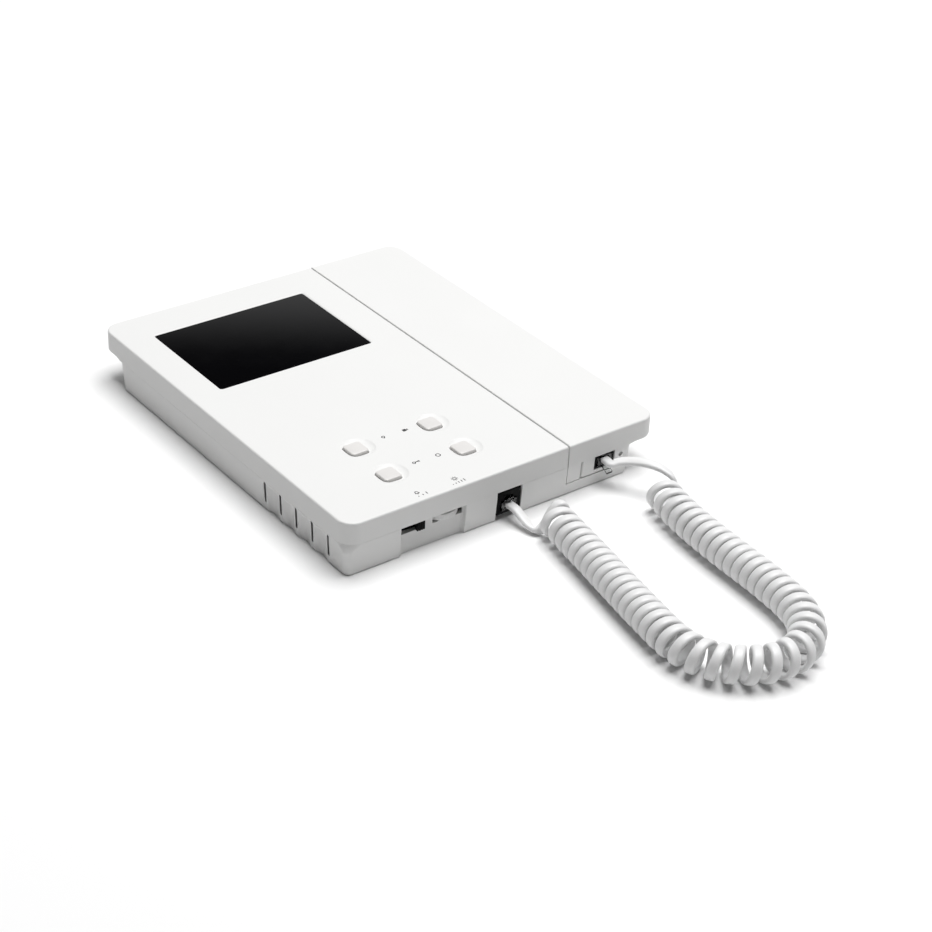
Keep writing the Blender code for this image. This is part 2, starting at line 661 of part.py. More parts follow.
# Front cover: a lid with the screen opening, the key holes and their finger dishes
cover_bottom = PARTING + GAP / 2
front_cover = lid(
    "front_cover", (LEFT, LOWER_END), (COVER_RIGHT, UPPER_END), (LIP_CORNER, GAP, GAP, LIP_CORNER),
    cover_bottom, WHITE_ABS
)
combine(
    front_cover,
    [
        slab(
            "cover_hollow",
            rounded(
                (LEFT + WALL, LOWER_END + WALL), (COVER_RIGHT - WALL, UPPER_END - WALL),
                (INNER_CORNER, GAP, GAP, INNER_CORNER),
            ),
            cover_bottom - WALL, PLATE_UNDERSIDE,
        )
    ],
    "DIFFERENCE",
)
combine(
    front_cover,
    [
        disc(f"cover_boss_{i}", centre, POST_RADIUS, BOARD_TOP, DEPTH - WALL / 2)
        for i, centre in enumerate(POSTS_AT)
    ],
    "UNION",
)
BUTTON_HOLE = BUTTON + 2 * GAP


def square_outline(centre, side, corner):
    half = side / 2
    return rounded(
        (centre[0] - half, centre[1] - half), (centre[0] + half, centre[1] + half), (corner,) * 4, steps=3
    )


def dish(name, centre):
    """A shallow ball-shaped dip that the finger follows to the key."""
    radius = (DISH_RADIUS**2 + DISH_DEPTH**2) / (2 * DISH_DEPTH)
    shape = bmesh.new()
    rings = 4
    profile = [math.asin(DISH_RADIUS / radius) * (1 + i / rings) for i in range(-rings, 1)]
    points = [shape.verts.new((radius * math.sin(a), 0, -radius * math.cos(a))) for a in profile]
    points.append(shape.verts.new((0, 0, -radius * math.cos(profile[-1]) + FAR)))
    edges = [shape.edges.new(pair) for pair in zip(points, points[1:])]
    bmesh.ops.spin(
        shape, geom=points + edges, cent=(0, 0, 0), axis=(0, 0, 1), angle=2 * math.pi, steps=24,
        use_merge=True
    )
    bmesh.ops.remove_doubles(shape, verts=shape.verts, dist=0.001 * MM)
    lift = DEPTH - DISH_DEPTH + radius
    shape.transform(Matrix.Translation((centre[0] + DISH_OFFSET[0], centre[1] + DISH_OFFSET[1], lift)))
    return add_object(name, shape)


holes = []
opening = rounded((SCREEN_LEFT, SCREEN_BOTTOM), (SCREEN_RIGHT, SCREEN_TOP), (SCREEN_CORNER,) * 4, steps=4)
flare = rounded(
    (SCREEN_LEFT - SCREEN_BEVEL, SCREEN_BOTTOM - SCREEN_BEVEL),
    (SCREEN_RIGHT + SCREEN_BEVEL, SCREEN_TOP + SCREEN_BEVEL),
    (SCREEN_CORNER + SCREEN_BEVEL,) * 4, steps=4,
)
screen_step = DEPTH - SCREEN_SUNK
holes.append(
    loft(
        "screen_opening",
        (
            [(x, y, PLATE_UNDERSIDE - WALL) for x, y in opening],
            [(x, y, screen_step) for x, y in opening],
            [(x, y, DEPTH) for x, y in flare],
            [(x, y, DEPTH + WALL) for x, y in flare],
        ),
    )
)
for i, centre in enumerate(POSTS_AT):
    holes.append(
        disc(
            f"boss_hole_{i}", centre, SCREW_RADIUS + GAP, cover_bottom - WALL, PLATE_UNDERSIDE - GAP, sides=12
        )
    )
for row, y in enumerate(BUTTON_ROWS):
    for column, x in enumerate(BUTTON_COLUMNS):
        name = BUTTON_NAMES[row][column]
        outline = square_outline((x, y), BUTTON_HOLE, BUTTON_CORNER)
        holes.append(slab(f"key_hole_{name}", outline, PARTING, DEPTH + WALL))
        holes.append(dish(f"dish_{name}", (x, y)))
combine(front_cover, holes, "DIFFERENCE")

# Screen stack: smoked lens under the cover, LCD in its frame on the board
screen_window = slab(
    "screen_window",
    box_outline(LCD_LOW, LCD_HIGH),
    LENS_TOP - LENS_THICKNESS, LENS_TOP, DARK_ACRYLIC,
)
combine(
    screen_window,
    [
        slab(
            "lens_step",
            rounded(
                (SCREEN_LEFT + GAP, SCREEN_BOTTOM + GAP), (SCREEN_RIGHT - GAP, SCREEN_TOP - GAP),
                (SCREEN_CORNER,) * 4, steps=4,
            ),
            LENS_TOP - LENS_THICKNESS / 2, screen_step,
        )
    ],
    "UNION",
)
block("lcd_panel", (*LCD_LOW, LCD_TOP - LCD_THICKNESS), (*LCD_HIGH, LCD_TOP), DARK_ACRYLIC)
lcd_frame = block("lcd_frame", FRAME_LOW, FRAME_HIGH, STEEL)
combine(
    lcd_frame,
    [
        block(
            "frame_recess",
            (LCD_LOW[0] - GAP, LCD_LOW[1] - GAP, LCD_TOP - LCD_THICKNESS - GAP),
            (LCD_HIGH[0] + GAP, LCD_HIGH[1] + GAP, DEPTH),
        )
    ],
    "DIFFERENCE",
)

# Main board, carried on the standoffs, with a corner notch for each screw post
main_board = block(
    "main_board",
    (LEFT + DRAFT + WALL + BOARD_MARGIN, BAY_WALL + WALL + BOARD_MARGIN, BOARD_BOTTOM),
    (cavity_right - BOARD_MARGIN, cavity_top - BOARD_MARGIN, BOARD_TOP),
    CIRCUIT_BOARD,
)
notch = POST_RADIUS + 2 * GAP
notches = []
for i, (x, y) in enumerate(POSTS_AT):
    outer = (math.copysign(WIDTH, x), math.copysign(HEIGHT, y))
    inner = (x - math.copysign(notch, x), y - math.copysign(notch, y))
    low = (min(outer[0], inner[0]), min(outer[1], inner[1]), 0)
    high = (max(outer[0], inner[0]), max(outer[1], inner[1]), DEPTH)
    notches.append(block(f"post_notch_{i}", low, high))
combine(main_board, notches, "DIFFERENCE")

# Function keys, each over its own tact switch
key_top = DEPTH + BUTTON_PROUD
collar_top = PLATE_UNDERSIDE - GAP
key_bottom = collar_top - BUTTON_FLANGE - BUTTON_FOOT
stem_top = key_bottom - BUTTON_TRAVEL - 2 * GAP
for row, y in enumerate(BUTTON_ROWS):
    for column, x in enumerate(BUTTON_COLUMNS):
        name = BUTTON_NAMES[row][column]
        crown = key_top - BUTTON_CROWN
        rings = [
            (BUTTON, key_bottom), (BUTTON, crown),
            (BUTTON - 2 * BUTTON_CROWN, key_top - BUTTON_CROWN * 0.25), (BUTTON * 0.5, key_top),
        ]
        key = loft(
            f"{name}_button",
            [
                [(a, b, z) for a, b in square_outline((x, y), side, min(BUTTON_CORNER, side / 3))]
                for side, z in rings
            ],
            BUTTON_WHITE,
        )
        collar = BUTTON_HOLE + 1.6 * MM
        combine(
            key,
            [
                slab(
                    f"{name}_collar", square_outline((x, y), collar, BUTTON_CORNER),
                    collar_top - BUTTON_FLANGE, collar_top,
                )
            ],
            "UNION",
        )
        hang_on(key, (x, y, key_bottom))
        switch = block(
            f"{name}_tact_switch",
            (x - SWITCH_BODY / 2, y - SWITCH_BODY / 2, BOARD_TOP + GAP),
            (x + SWITCH_BODY / 2, y + SWITCH_BODY / 2, stem_top - SWITCH_STEM_HEIGHT),
            BLACK_PLASTIC,
        )
        combine(
            switch,
            [disc(f"{name}_stem", (x, y), SWITCH_STEM, BOARD_TOP + 2 * GAP, stem_top, sides=12)],
            "UNION",
        )

# Call volume: a slide switch under the board, its black knob in the bay
slide_front = BAY_WALL + WALL + GAP
knob_right = VOLUME_RIGHT - GAP
volume_switch = block(
    "volume_switch",
    (BAY_LEFT, slide_front, LEVER_BOTTOM - LEVER_HEIGHT),
    (VOLUME_RIGHT, slide_front + VOLUME_SWITCH_DEPTH, WHEEL_TOP),
    BLACK_PLASTIC,
)
combine(
    volume_switch,
    [
        block(
            "lever_slot",
            (BAY_LEFT - FAR, slide_front - FAR, LEVER_BOTTOM - GAP),
            (VOLUME_RIGHT + FAR, slide_front + VOLUME_SWITCH_DEPTH / 2, LEVER_TOP + GAP),
        )
    ],
    "DIFFERENCE",
)
volume_slider = block(
    "volume_slider",
    (knob_right - VOLUME_KNOB, BAY_WALL - GAP, LEVER_BOTTOM),
    (knob_right, slide_front + VOLUME_SWITCH_DEPTH / 2 - GAP, LEVER_TOP),
    BLACK_PLASTIC,
)
combine(
    volume_slider,
    [
        block(
            "knob",
            (knob_right - VOLUME_KNOB, BAY_WALL - VOLUME_KNOB_REACH, KNOB_BOTTOM),
            (knob_right, BAY_WALL - GAP / 2, LEVER_TOP + KNOB_RISE),
        )
    ],
    "UNION",
)
hang_on(volume_slider, (knob_right - VOLUME_KNOB / 2, BAY_WALL, (LEVER_TOP + LEVER_BOTTOM) / 2))

# Picture brightness: a knurled wheel on the shaft of a small potentiometer
knurl = []
for i in range(2 * WHEEL_TEETH):
    angle = math.pi * i / WHEEL_TEETH
    reach = WHEEL_RADIUS - (WHEEL_TOOTH if i % 2 else 0)
    knurl.append((WHEEL_AT[0] + reach * math.cos(angle), WHEEL_AT[1] + reach * math.sin(angle)))
brightness_wheel = slab("brightness_wheel", knurl, WHEEL_BOTTOM, WHEEL_TOP, WHITE_ABS)
combine(brightness_wheel, [disc("wheel_bore", WHEEL_AT, WHEEL_BORE, 0, DEPTH, sides=16)], "DIFFERENCE")
hang_on(brightness_wheel, (*WHEEL_AT, WHEEL_BOTTOM))
pot_top = WHEEL_BOTTOM - GAP
shaft = WHEEL_BORE - GAP
turned(
    "brightness_pot",
    (
        (0, WHEEL_TOP - GAP), (shaft, WHEEL_TOP - GAP), (shaft, pot_top), (POT_RADIUS, pot_top),
        (POT_RADIUS, pot_top - POT_HEIGHT), (0, pot_top - POT_HEIGHT),
    ),
    WHEEL_AT, BLACK_PLASTIC, steps=16,
)


def jack(name, low, high, socket_low, socket_high):
    """A modular jack housing whose socket opens at the lower end wall."""
    made = block(name, low, high, BLACK_PLASTIC)
    combine(made, [block(f"{name}_socket", socket_low, socket_high)], "DIFFERENCE")
    return made


def plug(name, x, body_low, latch_way, reach, tip):
    """A four-way modular plug, nose inwards. Its latch springs up, or down where latch_way is -1."""
    nose = plug_rear + PLUG_LENGTH
    made = block(
        name, (x - PLUG_WIDTH / 2, plug_rear, body_low), (x + PLUG_WIDTH / 2, nose, body_low + PLUG_HEIGHT),
        CLEAR_PLASTIC
    )
    side = body_low + (PLUG_HEIGHT if latch_way > 0 else 0)
    half = LATCH_THICKNESS / 2
    outline = (
        (nose, -LATCH_THICKNESS), (nose, half), (plug_rear, LATCH_LIFT + half),
        (plug_rear - reach, tip + half),
        (plug_rear - reach, tip - half), (plug_rear, LATCH_LIFT - half),
        (nose - 2 * LATCH_THICKNESS, -LATCH_THICKNESS),
    )
    points = [(along, side + latch_way * away) for along, away in outline]
    lever = slab(f"{name}_latch", points, x - LATCH_WIDTH / 2, x + LATCH_WIDTH / 2, axis="X")
    combine(made, [lever], "UNION")
    return made


plug_rear = LOWER_END
socket_end = plug_rear + PLUG_LENGTH + 2 * GAP
jack_face = LOWER_END + 2 * GAP
base_plug_low = BASE_CORD_HEIGHT - PLUG_HEIGHT / 2
socket_top = base_plug_low + PLUG_HEIGHT + LATCH_LIFT + LATCH_THICKNESS
jack_half = JACK_NOTCH / 2 - GAP
jack(
    "base_jack",
    (BASE_JACK_X - jack_half, jack_face, WALL + GAP),
    (BASE_JACK_X + jack_half, jack_face + JACK_LENGTH, WHEEL_TOP),
    (BASE_JACK_X - PLUG_WIDTH / 2 - GAP, LOWER_END - FAR, base_plug_low - GAP),
    (BASE_JACK_X + PLUG_WIDTH / 2 + GAP, socket_end, socket_top),
)
plug("base_plug", BASE_JACK_X, base_plug_low, 1, BASE_LATCH_REACH, BASE_LATCH_TIP)

# Ringer behind the vents, terminal block over the cable entry, reed switch beside the cradle
speaker_at = (LEFT + SPEAKER_FROM_LEFT, VENT_YS[VENTS // 2])
speaker_bottom = WALL + GAP
turned(
    "ringer_speaker",
    (
        (0, speaker_bottom + SPEAKER_HEIGHT * 0.75),
        (SPEAKER_RADIUS * 0.4, speaker_bottom + SPEAKER_HEIGHT * 0.6),
        (SPEAKER_RADIUS * 0.85, speaker_bottom + SPEAKER_HEIGHT),
        (SPEAKER_RADIUS, speaker_bottom + SPEAKER_HEIGHT),
        (SPEAKER_RADIUS, speaker_bottom + SPEAKER_HEIGHT * 0.7),
        (SPEAKER_RADIUS * 0.6, speaker_bottom + SPEAKER_HEIGHT * 0.4),
        (SPEAKER_RADIUS * 0.6, speaker_bottom), (0, speaker_bottom),
    ),
    speaker_at, FERRITE,
)
terminal_half = (TERMINAL_BLOCK[0] / 2, TERMINAL_BLOCK[1] / 2)
terminal_block = block(
    "terminal_block",
    (entry_x - terminal_half[0], entry_y - terminal_half[1], TERMINAL_BOTTOM),
    (entry_x + terminal_half[0], entry_y + terminal_half[1], WHEEL_TOP),
    TERMINAL_GREEN,
)
terminal_pitch = TERMINAL_BLOCK[0] / TERMINALS
combine(
    terminal_block,
    [
        disc(
            f"terminal_{i}",
            (entry_x - terminal_half[0] + terminal_pitch * (i + 0.5), entry_y),
            TERMINAL_SCREW, 0, TERMINAL_BOTTOM + 2 * TERMINAL_SCREW, sides=8,
        )
        for i in range(TERMINALS)
    ],
    "DIFFERENCE",
)
reed_x = cavity_right - BOARD_MARGIN - 2 * REED_RADIUS
disc(
    "reed_switch", (reed_x, WHEEL_TOP - REED_RADIUS), REED_RADIUS, -REED_LENGTH / 2, REED_LENGTH / 2, GLASS,
    axis="Y", sides=10
)
for i, centre in enumerate(POSTS_AT):
    pan_screw(f"housing_screw_{i + 1}", centre, SCREW_SEAT)

# Handset front: flush with the cover, its skirt turning down beside the cradle wall
handset = bpy.data.objects.new("handset", None)
parts.objects.link(handset)
handset.location = (HANDSET_SPINE, 0, HANDSET_BOTTOM)
handset_front = lid(
    "handset_front", (HANDSET_LEFT, LOWER_END), (RIGHT, UPPER_END), (GAP, LIP_CORNER, LIP_CORNER, GAP),
    cover_bottom, WHITE_ABS
)
combine(
    handset_front,
    [
        slab(
            "handset_hollow",
            rounded(
                (HANDSET_LEFT + WALL, LOWER_END + WALL), (RIGHT - WALL, UPPER_END - WALL),
                (GAP, INNER_CORNER, INNER_CORNER, GAP),
            ),
            cover_bottom - WALL, PLATE_UNDERSIDE,
        )
    ],
    "DIFFERENCE",
)
skirt_right = HANDSET_LEFT + HANDSET_SKIRT
skirt_top = BODY_TOP - DRAFT
skirt_inside = HANDSET_LEFT + HANDSET_WALL
skirt_corners = rounded((HANDSET_LEFT, LOWER_END), (skirt_right, skirt_top), (GAP,) * 4)
corner_points = ROUND_STEPS + 1
skirt = skirt_corners[-corner_points:] + skirt_corners[:corner_points] + [
    (skirt_right, LOWER_END), (skirt_right, LOWER_END + HANDSET_WALL),
    (skirt_inside, LOWER_END + HANDSET_WALL),
    (skirt_inside, skirt_top - HANDSET_WALL), (skirt_right, skirt_top - HANDSET_WALL),
    (skirt_right, skirt_top),
]
combine(
    handset_front,
    [
        slab("skirt", skirt, HANDSET_BOTTOM, PARTING + WALL),
    ]
    + [
        disc(f"handset_boss_{i}", centre, POST_RADIUS, PARTING + GAP, DEPTH - WALL / 2)
        for i, centre in enumerate(HANDSET_SCREWS_AT)
    ],
    "UNION",
)
combine(
    handset_front,
    [
        disc(f"handset_boss_hole_{i}", centre, SCREW_RADIUS + GAP, 0, PLATE_UNDERSIDE - GAP, sides=12)
        for i, centre in enumerate(HANDSET_SCREWS_AT)
    ],
    "DIFFERENCE",
)

# Handset rear: a drafted tub that closes the overhang with a flange and carries the capsules
tub_left = HANDSET_LEFT + HANDSET_WALL + GAP
rear_left = skirt_right + SHELL_SEAM
tub_ends = (LOWER_END + HANDSET_WALL + GAP, skirt_top - HANDSET_WALL - GAP)


def tub_ring(height, inset):
    outline = rounded(
        (rear_left, LOWER_END + inset), (BODY_RIGHT - inset, skirt_top - inset),
        (HANDSET_WALL / 2, BODY_CORNER, BODY_CORNER, HANDSET_WALL / 2), steps=4,
    )
    return [(x, y, height) for x, y in outline]


handset_rear = loft(
    "handset_rear", (tub_ring(HANDSET_BOTTOM, DRAFT * 0.6), tub_ring(HOUSING_TOP, 0)), WHITE_ABS
)
tub_low = (tub_left, LOWER_END + DRAFT + HANDSET_WALL)
tub_high = (BODY_RIGHT - DRAFT - HANDSET_WALL, skirt_top - DRAFT - HANDSET_WALL)
combine(
    handset_rear,
    [slab("tub_hollow", rounded(tub_low, tub_high, (HANDSET_WALL / 2,) * 4, steps=2), HANDSET_FLOOR, DEPTH)],
    "DIFFERENCE",
)
recess_top = HANDSET_BOTTOM + LOCATOR_HEIGHT + GAP
ear_seat = recess_top + HANDSET_WALL
flange_right = RIGHT - WALL - GAP
combine(
    handset_rear,
    [
        block(
            "tub_ledge",
            (tub_left, tub_ends[0], HANDSET_BOTTOM), (rear_left + HANDSET_WALL, tub_ends[1], HANDSET_FLOOR),
        ),
        disc("ear_cup", EAR_AT, EAR_LOCATOR + LOCATOR_PLAY + HANDSET_WALL, HANDSET_BOTTOM, ear_seat),
        disc("mouth_cup", MOUTH_AT, MOUTH_LOCATOR + LOCATOR_PLAY + HANDSET_WALL, HANDSET_BOTTOM, ear_seat),
        block(
            "side_neck",
            (tub_high[0], LOWER_END + WALL + GAP, HOUSING_TOP - FLANGE),
            (BODY_RIGHT - DRAFT, flange_end, flange_bottom + FLANGE),
        ),
        slab(
            "side_flange",
            rounded(
                (tub_high[0], LOWER_END + WALL + GAP), (flange_right, flange_end),
                (GAP, INNER_CORNER, INNER_CORNER, GAP)
            ),
            flange_bottom, flange_bottom + FLANGE,
        ),
        block(
            "end_neck",
            (rear_left, tub_high[1], HOUSING_TOP - FLANGE),
            (BODY_RIGHT - DRAFT, skirt_top - DRAFT, flange_bottom + FLANGE),
        ),
        block(
            "end_flange",
            (rear_left, tub_high[1], flange_bottom), (BODY_RIGHT, flange_end, flange_bottom + FLANGE),
        ),
        block(
            "end_flange_corner",
            (HANDSET_LEFT + WALL + GAP, skirt_top + GAP, flange_bottom),
            (rear_left + HANDSET_WALL, flange_end, flange_bottom + FLANGE),
        ),
    ]
    + [
        disc(f"handset_post_{i}", centre, POST_RADIUS, HANDSET_BOTTOM, PARTING)
        for i, centre in enumerate(HANDSET_SCREWS_AT)
    ],
    "UNION",
)
jack_opening_bottom = PARTING - HANDSET_JACK_DROP
cuts = [
    block(
        "jack_opening",
        (HANDSET_JACK_X - HANDSET_JACK_WIDTH / 2, LOWER_END - FAR, jack_opening_bottom),
        (HANDSET_JACK_X + HANDSET_JACK_WIDTH / 2, LOWER_END + 2 * WALL, DEPTH),
    ),
    disc(
        "microphone_hole", MICROPHONE_AT, MICROPHONE_HOLE, LOWER_END - WALL, LOWER_END + 2 * WALL, axis="Y",
        sides=12
    ),
    disc("ear_recess", EAR_AT, EAR_LOCATOR + LOCATOR_PLAY, 0, recess_top),
    disc("mouth_recess", MOUTH_AT, MOUTH_LOCATOR + LOCATOR_PLAY, 0, recess_top),
]
for i in range(EAR_HOLES):
    angle = 2 * math.pi * i / EAR_HOLES
    spot = (EAR_AT[0] + EAR_HOLE_RING * math.cos(angle), EAR_AT[1] + EAR_HOLE_RING * math.sin(angle))
    cuts.append(disc(f"ear_hole_{i}", spot, EAR_HOLE, 0, ear_seat + WALL, sides=10))
cuts.append(disc("ear_hole_middle", EAR_AT, EAR_HOLE, 0, ear_seat + WALL, sides=10))
for i, centre in enumerate(HANDSET_SCREWS_AT):
    cuts.append(disc(f"handset_well_{i}", centre, SCREW_HEAD_RADIUS + GAP, 0, HANDSET_SCREW_SEAT, sides=16))
    cuts.append(
        disc(f"handset_hole_{i}", centre, SCREW_RADIUS + GAP, HANDSET_SCREW_SEAT - GAP, DEPTH, sides=12)
    )
combine(handset_rear, cuts, "DIFFERENCE")

# Handset contents: jack and its board, receiver, microphone, and the magnet that works the reed switch
handset_plug_low = HANDSET_CORD_HEIGHT - PLUG_HEIGHT / 2
handset_jack_half = HANDSET_JACK_WIDTH / 2 - GAP
jack(
    "handset_jack",
    (HANDSET_JACK_X - handset_jack_half, jack_face, jack_opening_bottom + GAP),
    (HANDSET_JACK_X + handset_jack_half, jack_face + JACK_LENGTH, PARTING),
    (HANDSET_JACK_X - PLUG_WIDTH / 2 - GAP, LOWER_END - FAR, 0),
    (HANDSET_JACK_X + PLUG_WIDTH / 2 + GAP, socket_end, handset_plug_low + PLUG_HEIGHT + GAP),
)
plug("handset_plug", HANDSET_JACK_X, handset_plug_low, -1, HANDSET_LATCH_REACH, HANDSET_LATCH_TIP)
board_low = (HANDSET_JACK_X - HANDSET_BOARD[0] / 2, LOWER_END + WALL + 2 * GAP, PARTING + GAP)
block(
    "handset_board",
    board_low,
    (board_low[0] + HANDSET_BOARD[0], board_low[1] + HANDSET_BOARD[1], PARTING + GAP + BOARD_THICKNESS),
    CIRCUIT_BOARD,
)
receiver_low = ear_seat + GAP
turned(
    "receiver_capsule",
    (
        (0, receiver_low + RECEIVER_HEIGHT), (RECEIVER_RADIUS * 0.6, receiver_low + RECEIVER_HEIGHT),
        (RECEIVER_RADIUS * 0.7, receiver_low + RECEIVER_HEIGHT * 0.55),
        (RECEIVER_RADIUS, receiver_low + RECEIVER_HEIGHT * 0.45),
        (RECEIVER_RADIUS, receiver_low), (0, receiver_low),
    ),
    EAR_AT, FERRITE,
)
disc(
    "microphone_capsule", MICROPHONE_AT, MICROPHONE_RADIUS,
    LOWER_END + DRAFT + HANDSET_WALL + GAP, LOWER_END + DRAFT + HANDSET_WALL + GAP + MICROPHONE_LENGTH,
    FERRITE, axis="Y", sides=16,
)
magnet_at = (tub_low[0] + MAGNET_RADIUS + GAP, 0)
magnet_low = HANDSET_FLOOR + GAP
disc("hook_magnet", magnet_at, MAGNET_RADIUS, magnet_low, magnet_low + MAGNET_HEIGHT, STEEL, sides=16)
for i, centre in enumerate(HANDSET_SCREWS_AT):
    pan_screw(f"handset_screw_{i + 1}", centre, HANDSET_SCREW_SEAT)


def smooth_curve(points, samples):
    """Points on the uniform cubic B-spline of a list of points."""
    control = np.array(points, float)
    along = np.linspace(0, len(control) - 3, samples)
    first = np.minimum(along.astype(int), len(control) - 4)
    t = (along - first)[:, None]
    weights = ((1 - t) ** 3, 3 * t**3 - 6 * t**2 + 4, -3 * t**3 + 3 * t**2 + 3 * t + 1, t**3)
    return sum(weight * control[first + i] for i, weight in enumerate(weights)) / 6


def through_points(stations, step):
    """Places and facings on the Catmull-Rom curve of (place, facing) pairs, whose end pairs only steer it."""
    control = np.array(stations, float).reshape(-1, 6)
    found = []
    for before, start, end, after in zip(control, control[1:], control[2:], control[3:]):
        slope_in, slope_out = (end - before) / 2, (after - start) / 2
        count = max(1, round(np.linalg.norm((end - start)[:3]) / step))
        for t in np.arange(count) / count:
            found.append(
                (2 * t**3 - 3 * t**2 + 1) * start + (t**3 - 2 * t**2 + t) * slope_in
                + (3 * t**2 - 2 * t**3) * end + (t**3 - t**2) * slope_out
            )
    found = np.array(found + [control[-2]])
    return found[:, :3], found[:, 3:]


def coil_of(axis_points):
    """Centres and outward directions of the helix.

    Turns touch, but for CURL_GAP, on the inside of each bend, and the turns at both ends are looser.
    """
    axis = smooth_curve(np.array(axis_points) * MM, 1200)
    steps = np.linalg.norm(np.diff(axis, axis=0), axis=1)
    along = np.concatenate(([0], np.cumsum(steps)))
    ahead = np.gradient(axis, along, axis=0)
    ahead /= np.linalg.norm(ahead, axis=1)[:, None]
    bend = np.abs(np.gradient(np.unwrap(np.arctan2(ahead[:, 1], ahead[:, 0])), along))
    slack = np.exp(-along / END_SLACK_RUN) + np.exp((along - along[-1]) / END_SLACK_RUN)
    pitch = (CORD_WIDTH + CURL_GAP) / (1 - COIL_OUTER / 2 * bend) * (1 + END_SLACK * slack)
    turns = np.concatenate(([0], np.cumsum(steps * 2 / (pitch[1:] + pitch[:-1]))))
    curls = int(turns[-1] + 0.5)
    wanted = np.arange(curls * CURL_POINTS - CURL_POINTS // 2 + 1) / CURL_POINTS
    spots = np.interp(wanted, turns * (curls - 0.5) / turns[-1], along)
    centre = np.stack([np.interp(spots, along, axis[:, i]) for i in range(2)], axis=1)
    way = np.stack([np.interp(spots, along, ahead[:, i]) for i in range(2)], axis=1)
    turn = 2 * np.pi * (wanted + 0.5)
    outward = np.stack([way[:, 1] * np.cos(turn), -way[:, 0] * np.cos(turn), np.sin(turn)], axis=1)
    height = np.full(len(centre), COIL_OUTER / 2 + GAP)
    return np.column_stack([centre, height]) + (COIL_OUTER - CORD_THICKNESS) / 2 * outward, outward, curls


# Curly cord: one flat cord from the base plug, round the coil and back to the handset plug
coil, coil_out, curls = coil_of(COIL_AXIS)
cord_start = np.array((BASE_JACK_X, plug_rear - GAP, BASE_CORD_HEIGHT))
cord_end = np.array((HANDSET_JACK_X, plug_rear - GAP, HANDSET_CORD_HEIGHT))
straight = np.array((0, CORD_WIDTH, 0))
up, down = (0, 0, 1), (0, 0, -1)
into_coil, into_faces = through_points(
    [(cord_start + straight, down), (cord_start, down)]
    + [(np.array(place) * MM, facing) for place, facing in BASE_TAIL]
    + list(zip(coil[:2], coil_out[:2])),
    TAIL_STEP,
)
out_of_coil, out_faces = through_points(
    list(zip(coil[-2:], coil_out[-2:]))
    + [(np.array(place) * MM, facing) for place, facing in HANDSET_TAIL]
    + [(cord_end - straight, up), (cord_end, up), (cord_end + straight, up)],
    TAIL_STEP,
)
centres = np.vstack([into_coil[:-1], coil, out_of_coil[1:]])
normals = np.vstack([into_faces[:-1], coil_out, out_faces[1:]])
directions = np.gradient(centres, axis=0)
directions[0] = (0, -1, 0)
directions[-1] = (0, 1, 0)
directions /= np.linalg.norm(directions, axis=1)[:, None]
sideways = np.cross(directions, normals)
sideways /= np.linalg.norm(sideways, axis=1)[:, None]
thick = np.cross(sideways, directions)
half_width, half_flat, half_thick = CORD_WIDTH / 2, CORD_FLAT / 2, CORD_THICKNESS / 2
section = (
    (half_width, 0), (half_flat, half_thick), (-half_flat, half_thick),
    (-half_width, 0), (-half_flat, -half_thick), (half_flat, -half_thick),
)
cord_rings = np.stack([centres + a * sideways + b * thick for a, b in section], axis=1)
loft("curly_cord", cord_rings, CORD_PVC)

run = np.concatenate(([0], np.cumsum(np.linalg.norm(np.diff(centres, axis=0), axis=1))))
cord_length = run[-1]
skin = cord_rings.reshape(-1, 3)
place = np.repeat(run, len(section))
least = 1.0
for i in range(len(cord_rings)):
    apart = np.abs(place - run[i]) > 2 * CORD_WIDTH
    reach = np.linalg.norm(skin[apart][:, None] - cord_rings[i][None], axis=2)
    least = min(least, reach.min())
print(f"curly cord: {curls} curls, {cord_length:.3f} m long, least gap to itself {least / MM:.2f} mm")

# The handset's pieces hang on one empty at its seat in the cradle
bpy.context.view_layer.update()
for piece in parts.objects:
    if piece.name.startswith(("handset_", "receiver", "microphone", "hook_magnet")):
        piece.parent = handset
        piece.matrix_parent_inverse = handset.matrix_world.inverted()
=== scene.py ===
"""The looks of a white video intercom monitor that lies on its back, with its handset and its curly cord.

X runs to the handset side, Y to the display end and Z out of the front face. Lengths are in metres.
"""

import math

import bmesh
import bpy
import numpy as np
from mathutils import Matrix, Vector


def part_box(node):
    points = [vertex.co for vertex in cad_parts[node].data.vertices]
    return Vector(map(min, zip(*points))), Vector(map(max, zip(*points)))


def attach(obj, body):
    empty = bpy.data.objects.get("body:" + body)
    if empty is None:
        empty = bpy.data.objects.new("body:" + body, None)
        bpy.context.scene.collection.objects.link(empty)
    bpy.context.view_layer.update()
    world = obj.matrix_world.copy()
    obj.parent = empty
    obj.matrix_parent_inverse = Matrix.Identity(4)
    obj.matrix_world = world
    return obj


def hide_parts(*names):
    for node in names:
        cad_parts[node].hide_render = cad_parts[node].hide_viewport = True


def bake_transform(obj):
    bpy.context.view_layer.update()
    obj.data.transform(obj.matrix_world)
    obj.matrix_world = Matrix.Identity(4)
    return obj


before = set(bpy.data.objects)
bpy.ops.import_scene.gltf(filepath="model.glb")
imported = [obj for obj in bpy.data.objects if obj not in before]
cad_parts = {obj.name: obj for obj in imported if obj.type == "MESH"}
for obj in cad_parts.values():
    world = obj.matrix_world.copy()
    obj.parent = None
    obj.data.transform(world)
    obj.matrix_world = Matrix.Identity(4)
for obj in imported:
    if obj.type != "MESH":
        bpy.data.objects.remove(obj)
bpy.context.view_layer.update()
MM = 0.001

